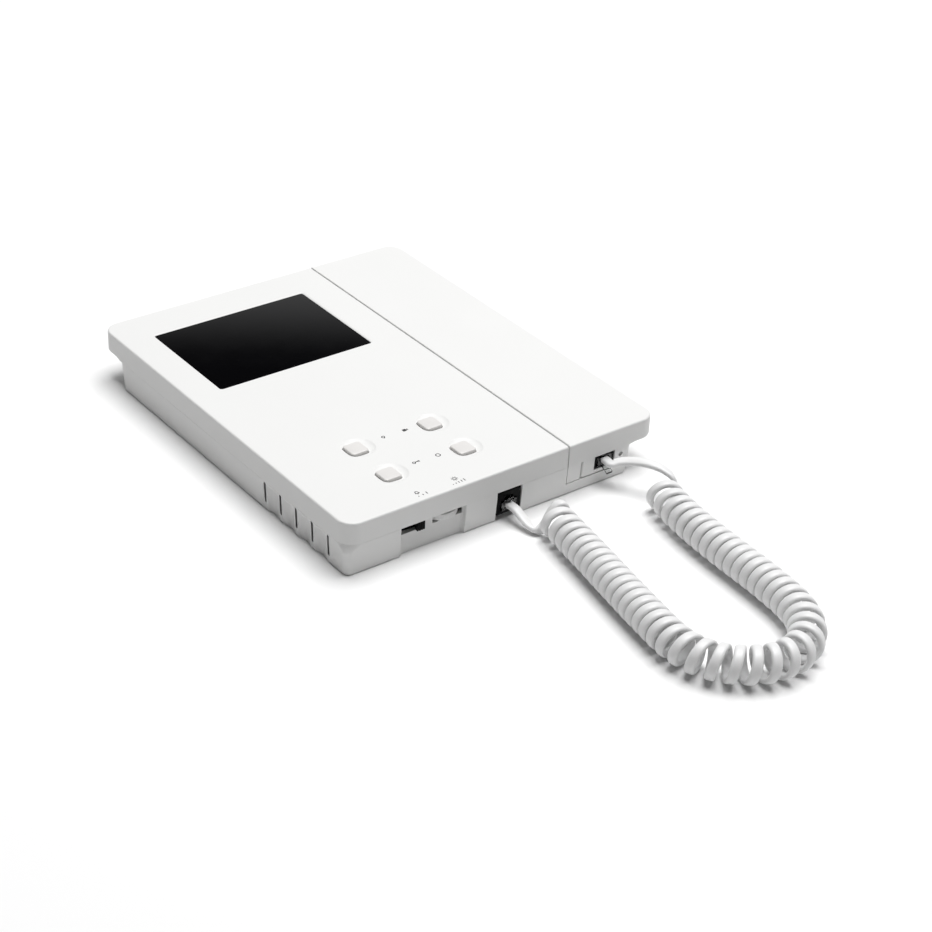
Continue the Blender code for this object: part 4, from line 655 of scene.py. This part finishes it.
# Bay controls
# A black slide knob for the call volume and a knurled white thumb wheel for the brightness of the picture.
# The knob runs on the slide switch behind the wall, and the wheel turns on the potentiometer's shaft.
KNOB_RIDGES = 3
GROOVE_RADIUS = 0.38 * MM
GROOVE_LEAD = 0.12 * MM
STEM_BOTTOM = 10.5 * MM
STEM_TOP = 12.1 * MM
lever = brick((lever_low.x, BAY_WALL - GAP, STEM_BOTTOM), (lever_high.x, lever_high.y, STEM_TOP))
combine(lever, [brick(lever_low, (lever_high.x, BAY_WALL - GAP / 2, lever_high.z))], "UNION")
grooves = []
for i in range(KNOB_RIDGES):
    x = lever_low.x + (lever_high.x - lever_low.x) * (i + 0.5) / KNOB_RIDGES
    outline = circle((x, lever_low.y - GROOVE_LEAD), GROOVE_RADIUS, 16)
    grooves.append(prism(outline, lever_low.z - WALL, lever_high.z + WALL))
combine(lever, grooves, "DIFFERENCE")
place(
    lever, "volume_knob", black_plastic, "volume_slider", ["volume_slider"], ease=0.15 * MM
)

WHEEL_TEETH = 36
WHEEL_TOOTH = 0.1 * MM
WHEEL_DROP = 0.5 * MM
WHEEL_BORE = 1.8 * MM
WHEEL_EDGE = 0.35 * MM
wheel_at = middle_of("brightness_wheel")
wheel_radius = (wheel_high.x - wheel_low.x) / 2
turns = [2 * math.pi * i / (WHEEL_TEETH * 8) for i in range(WHEEL_TEETH * 8)]
reach = [wheel_radius - WHEEL_TOOTH * (0.5 - 0.5 * math.cos(WHEEL_TEETH * t)) for t in turns]
levels = []
for share, inset in ((0, 1), (0.15, 0.45), (0.5, 0.12), (1, 0)):
    levels.append((wheel_low.z + WHEEL_EDGE * share, WHEEL_EDGE * inset))
levels += [(wheel_low.z + wheel_high.z - WHEEL_DROP - height, inset) for height, inset in levels[::-1]]
rings = []
for height, inset in levels:
    spokes = [(r - inset, t) for r, t in zip(reach, turns)]
    rings.append([(wheel_at[0] + r * math.cos(t), wheel_at[1] + r * math.sin(t), height) for r, t in spokes])
wheel = solid("wheel", rings)
combine(wheel, [prism(circle(wheel_at, WHEEL_BORE, 32), 0, FACE)], "DIFFERENCE")
place(wheel, "thumb_wheel", white_abs, "brightness_wheel", ["brightness_wheel"], ease=0.06 * MM)

# Case screws
# Pan-head screws for plastic with a cross recess, four through the housing and two through the handset.
HEAD_RADIUS = 2.8 * MM
SHANK_RADIUS = 1.45 * MM
HEAD_DOME = 1.1 * MM
TIP_LENGTH = 0.8 * MM
TIP_RADIUS = 0.5 * MM
RECESS = (0.38 * MM, 1.55 * MM, 1.2 * MM)
screws = [(f"housing_screw_{i}", f"case_screw_{i}", "base") for i in range(1, 5)]
screws += [(f"handset_screw_{i}", f"shell_screw_{i}", "handset") for i in (1, 2)]
for node, name, body in screws:
    low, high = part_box(node)
    x, y = middle_of(node)
    seat = low.z + SCREW_HEAD
    dome = np.linspace(0.2, 1.571, 7)
    profile = [(HEAD_RADIUS * math.sin(a), low.z + HEAD_DOME * (1 - math.cos(a))) for a in dome]
    profile += [(HEAD_RADIUS, seat), (SHANK_RADIUS, seat)]
    profile += [(SHANK_RADIUS, high.z - TIP_LENGTH), (TIP_RADIUS, high.z)]
    screw = solid("screw", [[(a, b, z) for a, b in circle((x, y), r, 32)] for r, z in profile])
    narrow, long, deep = RECESS
    cross = [
        brick((x - a, y - b, low.z - WALL), (x + a, y + b, low.z + deep))
        for a, b in ((narrow, long), (long, narrow))
    ]
    combine(screw, cross, "DIFFERENCE")
    place(screw, name, zinc_plate, body, [node], ease=0.05 * MM)

# Modular jacks and plugs
# Black four-way jacks, let into the base's end wall and the handset's, each with a clear plug on the cord.
# The jack's opening is keyed for the plug's latch, which points up in the base and down in the handset.
# Clear polycarbonate: colourless, with sharp glints along its moulded edges.
clear_plastic = moulded(
    "clear_polycarbonate_moulded", "#eef1f0", "#f4f6f5", 1.5 * MM, (0.03, 0.07), 0.05,
    Transmission_Weight=1.0, IOR=1.585,
)
PLUG_WIDTH = 7.6 * MM
PLUG_HEIGHT = 4.2 * MM
PLUG_LENGTH = 11.4 * MM
LATCH_WIDTH = 3.2 * MM
LATCH_THICKNESS = 0.9 * MM
LATCH_LIFT = 0.75 * MM
KEYWAY = 4.3 * MM
SHEATH = (4.6 * MM, 2.7 * MM, 6 * MM)
BASE_CORD = (base_jack_x, LOWER_END - GAP, 6.4 * MM)
HANDSET_CORD = (middle_of("handset_jack")[0], LOWER_END - GAP, 11.0 * MM)
for side, cord_at, way, reach, tip in (
    ("base", BASE_CORD, 1, 1.0 * MM, 1.6 * MM), ("handset", HANDSET_CORD, -1, 3.6 * MM, 2.6 * MM)
):
    x, bottom, top = cord_at[0], cord_at[2] - PLUG_HEIGHT / 2, cord_at[2] + PLUG_HEIGHT / 2
    nose = LOWER_END + PLUG_LENGTH
    latch_side = top if way > 0 else bottom
    latch_room = latch_side + way * (LATCH_LIFT + LATCH_THICKNESS + GAP)
    jack_low, jack_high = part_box(f"{side}_jack")
    jack = brick(jack_low, jack_high)
    half = PLUG_WIDTH / 2 + GAP
    keyway = sorted((latch_side - way * GAP, latch_room if way > 0 else jack_low.z - WALL))
    sockets = [
        brick((x - half, LOWER_END - FAR, bottom - GAP), (x + half, nose + 2 * GAP, top + GAP)),
        brick((x - KEYWAY / 2, LOWER_END - FAR, keyway[0]), (x + KEYWAY / 2, nose + 2 * GAP, keyway[1])),
    ]
    combine(jack, sockets, "DIFFERENCE")
    place(jack, f"{side}_socket", black_plastic, side, [f"{side}_jack"], ease=0.2 * MM)

    plug = brick((x - PLUG_WIDTH / 2, LOWER_END, bottom), (x + PLUG_WIDTH / 2, nose, top))
    half = LATCH_THICKNESS / 2
    outline = [
        (nose, -LATCH_THICKNESS), (nose, half), (LOWER_END, LATCH_LIFT + half),
        (LOWER_END - reach, tip + half), (LOWER_END - reach, tip - half), (LOWER_END, LATCH_LIFT - half),
        (nose - 2 * LATCH_THICKNESS, -LATCH_THICKNESS),
    ]
    points = [(along, latch_side + way * away) for along, away in outline]
    combine(plug, [prism(points, x - LATCH_WIDTH / 2, x + LATCH_WIDTH / 2, axis="X")], "UNION")
    wide, tall, deep = SHEATH
    entry = brick(
        (x - wide / 2, LOWER_END - WALL, cord_at[2] - tall / 2),
        (x + wide / 2, LOWER_END + deep, cord_at[2] + tall / 2),
    )
    combine(plug, [entry], "DIFFERENCE")
    place(plug, f"{side}_connector", clear_plastic, side, [f"{side}_plug"], ease=0.15 * MM)

# Handset front
# The handset's lid in the same white ABS, flush with the cover beside it and rounded below at its free sides.
# Its skirt turns down along the cradle wall and wraps round both ends of the tub's left side.
HANDSET_LEFT = lid_low.x
HANDSET_BOTTOM = lid_low.z
HANDSET_WALL = 2 * MM
SKIRT_RIGHT = HANDSET_LEFT + 7 * MM
skirt_top = BODY_TOP - DRAFT


def free_side(x, y):
    """Share of the lower round along the handset lid's rim: none along the seam or over the tub's end."""
    if x < HANDSET_LEFT + SEAM_CORNER:
        return 0
    return max(ramp(x, BODY_RIGHT - 4 * MM, BODY_RIGHT + 4 * MM), ramp(y, BODY_TOP, BODY_TOP + 6 * MM))


front = lid(
    "front",
    rounded(
        (HANDSET_LEFT, LOWER_END), (RIGHT, UPPER_END), (SEAM_CORNER, LIP_CORNER, LIP_CORNER, SEAM_CORNER)
    ),
    lambda x, y: SEAM_ROUND / EDGE_ROUND if x < HANDSET_LEFT + SEAM_CORNER else 1,
    free_side,
)
hollow = rounded(
    (HANDSET_LEFT + WALL, LOWER_END + WALL), (RIGHT - WALL, UPPER_END - WALL),
    (GAP, INNER_CORNER, INNER_CORNER, GAP),
)
combine(front, [prism(hollow, COVER_BOTTOM - WALL, PLATE_UNDERSIDE)], "DIFFERENCE")
SKIRT_INSET = 0.1 * MM
SKIRT_DRAFT = 0.6 * MM
inside = HANDSET_LEFT + HANDSET_WALL


def skirt_ring(height, inset):
    near, back = LOWER_END + inset, LOWER_END + HANDSET_WALL
    outline = [
        (HANDSET_LEFT, near), (SKIRT_RIGHT, near), (SKIRT_RIGHT, back), (inside, back),
        (inside, skirt_top - HANDSET_WALL), (SKIRT_RIGHT, skirt_top - HANDSET_WALL), (SKIRT_RIGHT, skirt_top),
        (HANDSET_LEFT, skirt_top),
    ]
    return [(x, y, height) for x, y in outline]


handset_screws = [middle_of(f"handset_screw_{i}") for i in (1, 2)]
parting = COVER_BOTTOM - GAP / 2
drafts = ((HANDSET_BOTTOM, SKIRT_DRAFT), (COVER_BOTTOM, SKIRT_INSET), (parting + WALL, SKIRT_INSET))
additions = [solid("tool", [skirt_ring(height, inset) for height, inset in drafts])]
additions += [prism(circle(centre, POST_RADIUS), parting + GAP, FACE - WALL / 2) for centre in handset_screws]
combine(front, additions, "UNION")
holes = [prism(circle(centre, SCREW_HOLE, 24), 0, PLATE_UNDERSIDE - GAP) for centre in handset_screws]
combine(front, holes, "DIFFERENCE")
place(front, "handset_lid", white_abs, "handset", ["handset_front"], ease=0.3 * MM)

# Handset rear
# A drafted tub that closes the handset from below, with earpiece holes and a recess for each locating boss.
# Its flange shuts the overhang at the side and display end, and its lower end holds the jack and microphone.
tub_left = HANDSET_LEFT + HANDSET_WALL + GAP
REAR_LEFT = SKIRT_RIGHT + 0.9 * MM
HANDSET_FLOOR = HANDSET_BOTTOM + HANDSET_WALL
LOCATOR_PLAY = 0.6 * MM
TUB_ROUND = 0.7 * MM
tub_draft = DRAFT * 0.6


def tub_ring(height, inset):
    low, high = (REAR_LEFT, LOWER_END + inset), (BODY_RIGHT - inset, skirt_top - inset)
    radii = (1 * MM, BODY_CORNER, BODY_CORNER, 1 * MM)
    return [(x, y, height) for x, y in rounded(low, high, radii, steps=8)]


rings = []
for angle in np.linspace(0, math.pi / 2, 6):
    height = HANDSET_BOTTOM + TUB_ROUND * (1 - math.cos(angle))
    rings.append(tub_ring(height, tub_draft + TUB_ROUND * (1 - math.sin(angle))))
rings.append(tub_ring(HOUSING_TOP, SKIRT_INSET))
tub = solid("tub", rings)
tub_low = (tub_left, LOWER_END + DRAFT + HANDSET_WALL)
tub_high = (BODY_RIGHT - DRAFT - HANDSET_WALL, skirt_top - DRAFT - HANDSET_WALL)
combine(tub, [prism(rounded(tub_low, tub_high, (1 * MM,) * 4, steps=6), HANDSET_FLOOR, FACE)], "DIFFERENCE")
recess_top = HANDSET_BOTTOM + LOCATOR_HEIGHT + GAP
ear_seat = recess_top + HANDSET_WALL
flange_low, flange_high = COVER_BOTTOM, COVER_BOTTOM + FLANGE
neck_low = HOUSING_TOP - FLANGE
flange_start = LOWER_END + WALL + GAP
side_flange = rounded(
    (tub_high[0], flange_start), (RIGHT - WALL - GAP, flange_end), (GAP, INNER_CORNER, INNER_CORNER, GAP)
)
combine(
    tub,
    [
        brick(
            (tub_left, LOWER_END + HANDSET_WALL + GAP, HANDSET_BOTTOM),
            (REAR_LEFT + HANDSET_WALL, skirt_top - HANDSET_WALL - GAP, HANDSET_FLOOR),
        ),
        prism(circle(EAR_AT, EAR_LOCATOR + LOCATOR_PLAY + HANDSET_WALL, 72), HANDSET_BOTTOM, ear_seat),
        prism(circle(MOUTH_AT, MOUTH_LOCATOR + LOCATOR_PLAY + HANDSET_WALL, 56), HANDSET_BOTTOM, ear_seat),
        brick((tub_high[0], flange_start, neck_low), (BODY_RIGHT - DRAFT, flange_end, flange_high)),
        prism(side_flange, flange_low, flange_high),
        brick((REAR_LEFT, tub_high[1], neck_low), (BODY_RIGHT - DRAFT, skirt_top - DRAFT, flange_high)),
        brick((REAR_LEFT, tub_high[1], flange_low), (BODY_RIGHT, flange_end, flange_high)),
        brick(
            (HANDSET_LEFT + WALL + GAP, skirt_top + GAP, flange_low),
            (REAR_LEFT + HANDSET_WALL, flange_end, flange_high),
        ),
    ]
    + [prism(circle(centre, POST_RADIUS), HANDSET_BOTTOM, parting) for centre in handset_screws],
    "UNION",
)
JACK_OPENING = 11.1 * MM
JACK_DROP = 6.4 * MM
MICROPHONE_HOLE = 1.1 * MM
EAR_HOLE = 1.2 * MM
EAR_HOLE_RING = 5.5 * MM
opening_x = HANDSET_CORD[0]
capsule_low, capsule_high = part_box("microphone_capsule")
microphone_at = ((capsule_low.x + capsule_high.x) / 2, (capsule_low.z + capsule_high.z) / 2)
cuts = [
    brick(
        (opening_x - JACK_OPENING / 2, LOWER_END - FAR, parting - JACK_DROP),
        (opening_x + JACK_OPENING / 2, LOWER_END + 2 * WALL, FACE),
    ),
    prism(circle(microphone_at, MICROPHONE_HOLE, 24), LOWER_END - WALL, LOWER_END + 2 * WALL, axis="Y"),
    prism(circle(EAR_AT, EAR_LOCATOR + LOCATOR_PLAY, 72), 0, recess_top),
    prism(circle(MOUTH_AT, MOUTH_LOCATOR + LOCATOR_PLAY, 56), 0, recess_top),
]
for spot in circle(EAR_AT, EAR_HOLE_RING, 6) + [EAR_AT]:
    cuts.append(prism(circle(spot, EAR_HOLE, 20), 0, ear_seat + WALL))
for i, centre in enumerate(handset_screws):
    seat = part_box(f"handset_screw_{i + 1}")[0].z + SCREW_HEAD
    cuts.append(prism(circle(centre, SCREW_WELL), 0, seat))
    cuts.append(prism(circle(centre, SCREW_HOLE, 24), seat - GAP, FACE))
combine(tub, cuts, "DIFFERENCE")
place(tub, "handset_tub", white_abs, "handset", ["handset_rear"], ease=0.3 * MM)

# Curly cord
# A flat cord in soft white PVC, wound left-handed on a mandrel and set by heat, with straight tails.
# It leaves the base's plug, lies on the table in a loop and rises to the handset's plug, in millimetres.
# Soft PVC jacket: a satin white with a faint drawn grain.
cord_pvc = moulded("white_pvc_extruded", "#e2e2e2", "#e6e6e6", 0.4 * MM, (0.34, 0.44), 0.1, IOR=1.53)
COIL_OUTER = 15.2 * MM
CORD_WIDTH = 4.35 * MM
CORD_THICKNESS = 2.4 * MM
CURL_GAP = 0.52 * MM
END_SLACK = 0.6
END_SLACK_RUN = 10 * MM
CURL_POINTS = 36
STEER = 0.1
TAIL_STEP = 0.8 * MM
COIL_AXIS = (
    (10.4, -108.0), (8.8, -116.0), (6.5, -130.0), (3.0, -150.0), (-1.5, -173.0), (-5.4, -196.0),
    (-7.6, -211.0), (-4.6, -224.5), (6.0, -236.0), (21.5, -241.0), (36.0, -237.0), (46.5, -224.0),
    (49.4, -207.0), (50.6, -190.0), (51.4, -170.0), (53.2, -151.0), (55.8, -136.0), (59.2, -125.0),
    (62.6, -114.5),
)
BASE_TAIL = (
    ((0.95, -102.3, 6.2), (0, 0, -1)),
    ((1.2, -106.6, 4.2), (-0.1, 0, -1)),
    ((1.6, -111.0, 2.4), (-0.4, -0.1, -0.9)),
    ((2.8, -114.3, 2.0), (-0.7, -0.3, -0.6)),
    ((4.9, -115.7, 4.8), (-0.95, -0.1, 0)),
    ((7.1, -116.1, 9.3), (-0.9, 0, 0.4)),
    ((9.8, -116.6, 13.0), (-0.4, 0, 0.9)),
    ((12.7, -117.8, 13.4), (0.6, 0, 0.8)),
)
HANDSET_TAIL = (
    ((65.3, -125.6, 11.6), (0.75, -0.3, 0.5)),
    ((64.6, -122.6, 13.4), (0.3, -0.45, 0.85)),
    ((63.2, -118.0, 14.2), (0, -0.5, 0.86)),
    ((60.8, -112.8, 14.2), (-0.15, -0.5, 0.85)),
    ((57.4, -107.6, 13.4), (-0.2, -0.45, 0.87)),
    ((54.0, -103.8, 12.2), (-0.1, -0.2, 0.97)),
)


def smooth_curve(points, samples):
    """Points on the uniform cubic B-spline of a list of points."""
    control = np.array(points, float)
    along = np.linspace(0, len(control) - 3, samples)
    first = np.minimum(along.astype(int), len(control) - 4)
    t = (along - first)[:, None]
    weights = ((1 - t) ** 3, 3 * t**3 - 6 * t**2 + 4, -3 * t**3 + 3 * t**2 + 3 * t + 1, t**3)
    return sum(weight * control[first + i] for i, weight in enumerate(weights)) / 6


def through_points(stations, step):
    """Places and facings on the Catmull-Rom curve of (place, facing) pairs, whose end pairs only steer it."""
    control = np.array(stations, float).reshape(-1, 6)
    found = []
    for before, start, end, after in zip(control, control[1:], control[2:], control[3:]):
        slope_in, slope_out = (end - before) / 2, (after - start) / 2
        count = max(1, round(np.linalg.norm((end - start)[:3]) / step))
        for t in np.arange(count) / count:
            found.append(
                (2 * t**3 - 3 * t**2 + 1) * start + (t**3 - 2 * t**2 + t) * slope_in
                + (3 * t**2 - 2 * t**3) * end + (t**3 - t**2) * slope_out
            )
    found = np.array(found + [control[-2]])
    return found[:, :3], found[:, 3:]


axis = smooth_curve(np.array(COIL_AXIS) * MM, 1200)
steps = np.linalg.norm(np.diff(axis, axis=0), axis=1)
along = np.concatenate(([0], np.cumsum(steps)))
ahead = np.gradient(axis, along, axis=0)
ahead /= np.linalg.norm(ahead, axis=1)[:, None]
bend = np.abs(np.gradient(np.unwrap(np.arctan2(ahead[:, 1], ahead[:, 0])), along))
slack = np.exp(-along / END_SLACK_RUN) + np.exp((along - along[-1]) / END_SLACK_RUN)
pitch = (CORD_WIDTH + CURL_GAP) / (1 - COIL_OUTER / 2 * bend) * (1 + END_SLACK * slack)
turns = np.concatenate(([0], np.cumsum(steps * 2 / (pitch[1:] + pitch[:-1]))))
last_turn = int(turns[-1] + 0.5) - 0.5


def on_coil(wanted):
    """Centres of the cord and its outward facings after a number of turns of the coil."""
    spots = np.interp(wanted, turns * last_turn / turns[-1], along)
    centre = np.stack([np.interp(spots, along, axis[:, i]) for i in range(2)], axis=1)
    way = np.stack([np.interp(spots, along, ahead[:, i]) for i in range(2)], axis=1)
    angle = 2 * np.pi * (wanted + 0.5)
    outward = np.stack([way[:, 1] * np.cos(angle), -way[:, 0] * np.cos(angle), np.sin(angle)], axis=1)
    height = np.full(len(centre), COIL_OUTER / 2 + GAP)
    return np.column_stack([centre, height]) + (COIL_OUTER - CORD_THICKNESS) / 2 * outward, outward


coil, coil_out = on_coil(np.arange(round(last_turn * CURL_POINTS) + 1) / CURL_POINTS)
first_pair = on_coil(np.array((0, STEER)))
last_pair = on_coil(np.array((last_turn - STEER, last_turn)))
cord_start, cord_end = np.array(BASE_CORD), np.array(HANDSET_CORD)
straight = np.array((0, CORD_WIDTH, 0))
in_plug = np.array((0, 4 * MM, 0))
up, down = (0, 0, 1), (0, 0, -1)
into_coil, into_faces = through_points(
    [(cord_start + straight, down), (cord_start, down)]
    + [(np.array(spot) * MM, facing) for spot, facing in BASE_TAIL]
    + list(zip(*first_pair)),
    TAIL_STEP,
)
out_of_coil, out_faces = through_points(
    list(zip(*last_pair))
    + [(np.array(spot) * MM, facing) for spot, facing in HANDSET_TAIL]
    + [(cord_end - straight, up), (cord_end, up), (cord_end + straight, up)],
    TAIL_STEP,
)
centres = np.vstack([[cord_start + in_plug], into_coil[:-1], coil, out_of_coil[1:], [cord_end + in_plug]])
facings = np.vstack([[down], into_faces[:-1], coil_out, out_faces[1:], [up]])
directions = np.gradient(centres, axis=0)
directions[:2] = (0, -1, 0)
directions[-2:] = (0, 1, 0)
directions /= np.linalg.norm(directions, axis=1)[:, None]
sideways = np.cross(directions, facings)
sideways /= np.linalg.norm(sideways, axis=1)[:, None]
thick = np.cross(sideways, directions)
EDGE_POINTS = 8
edge = np.linspace(-math.pi / 2, math.pi / 2, EDGE_POINTS)
half_thick = CORD_THICKNESS / 2
flat_half = CORD_WIDTH / 2 - half_thick
section = [(flat_half + half_thick * math.cos(a), half_thick * math.sin(a)) for a in edge]
section += [(-a, -b) for a, b in section]
cord_rings = np.stack([centres + a * sideways + b * thick for a, b in section], axis=1)
cord = solid("curly_cord_jacket", cord_rings)
cord.data.materials.append(cord_pvc)
cord.data.shade_smooth()
run = np.concatenate(([0], np.cumsum(np.linalg.norm(np.diff(centres, axis=0), axis=1))))
FOLLOW_FROM = 0.5
FOLLOW_TO = 0.97
share = np.clip((run / run[-1] - FOLLOW_FROM) / (FOLLOW_TO - FOLLOW_FROM), 0, 1)
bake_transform(cord)
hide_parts("curly_cord")

# Studio
# A plain pale floor, one large soft light overhead and the camera at the photograph's place.
# The world is dark apart from a low glow behind the object, which the screen mirrors at its far edge.
FLOOR_HALF = 6.0
floor_paint = bpy.data.materials.new("floor_paint_matt")
floor_paint.use_nodes = True
floor_paint.node_tree.nodes.clear()
paint = add_node(
    floor_paint, "ShaderNodeBsdfPrincipled",
    {
        "Base Color": linear("#eeeeee"), "Roughness": 0.9, "Emission Color": linear("#ffffff"),
        "Emission Strength": 0.02,
    },
)
add_node(floor_paint, "ShaderNodeOutputMaterial", {"Surface": paint.outputs["BSDF"]})
floor = brick((-FLOOR_HALF, -FLOOR_HALF, -50 * MM), (FLOOR_HALF, FLOOR_HALF, -0.2 * MM))
floor.name = "floor"
floor.data.materials.append(floor_paint)

light = bpy.data.lights.new("overhead_softbox", "AREA")
light.shape = "SQUARE"
light.size = 1.8
light.energy = 76
lamp = bpy.data.objects.new("overhead_softbox", light)
lamp.location = (0.45, 0.1, 2.2)
bpy.context.scene.collection.objects.link(lamp)

BEHIND = (0.62, 0.785, 0)
world = bpy.data.worlds.new("studio")
world.use_nodes = True
world.node_tree.nodes.clear()
way = add_node(world, "ShaderNodeTexCoord", {}).outputs["Generated"]
rise = add_node(world, "ShaderNodeSeparateXYZ", {"Vector": way}).outputs["Z"]
fade = add_node(
    world, "ShaderNodeMapRange",
    {"Value": rise, "From Min": 0.452, "From Max": 0.484, "To Min": 0.5, "To Max": 0.0},
    interpolation_type="SMOOTHSTEP",
)
behind = add_node(world, "ShaderNodeVectorMath", {0: way, 1: BEHIND}, operation="DOT_PRODUCT")
sector = add_node(
    world, "ShaderNodeMapRange",
    {"Value": behind.outputs["Value"], "From Min": 0.45, "From Max": 0.75},
    interpolation_type="SMOOTHSTEP",
)
level = add_node(
    world, "ShaderNodeMath", {0: fade.outputs["Result"], 1: sector.outputs["Result"]}, operation="MULTIPLY"
)
glow = add_node(world, "ShaderNodeBackground", {"Color": (1, 1, 1, 1), "Strength": level.outputs["Value"]})
add_node(world, "ShaderNodeOutputWorld", {"Surface": glow.outputs["Background"]})
bpy.context.scene.world = world
bpy.context.scene.view_settings.view_transform = "Standard"

LENS = 83.643
CAMERA_AT = Vector((-478.297, -673.927, 486.856)) * MM
CAMERA_AIM = Vector((-13.773, -86.208, 24.0)) * MM
CAMERA_ROLL = math.radians(2.834)
view = bpy.data.cameras.new("camera")
view.lens = LENS
view.sensor_width = 36
camera = bpy.data.objects.new("camera", view)
facing = (CAMERA_AIM - CAMERA_AT).to_track_quat("-Z", "Y").to_matrix().to_4x4()
camera.matrix_world = Matrix.Translation(CAMERA_AT) @ facing @ Matrix.Rotation(CAMERA_ROLL, 4, "Z")
bpy.context.scene.collection.objects.link(camera)
bpy.context.scene.camera = camera
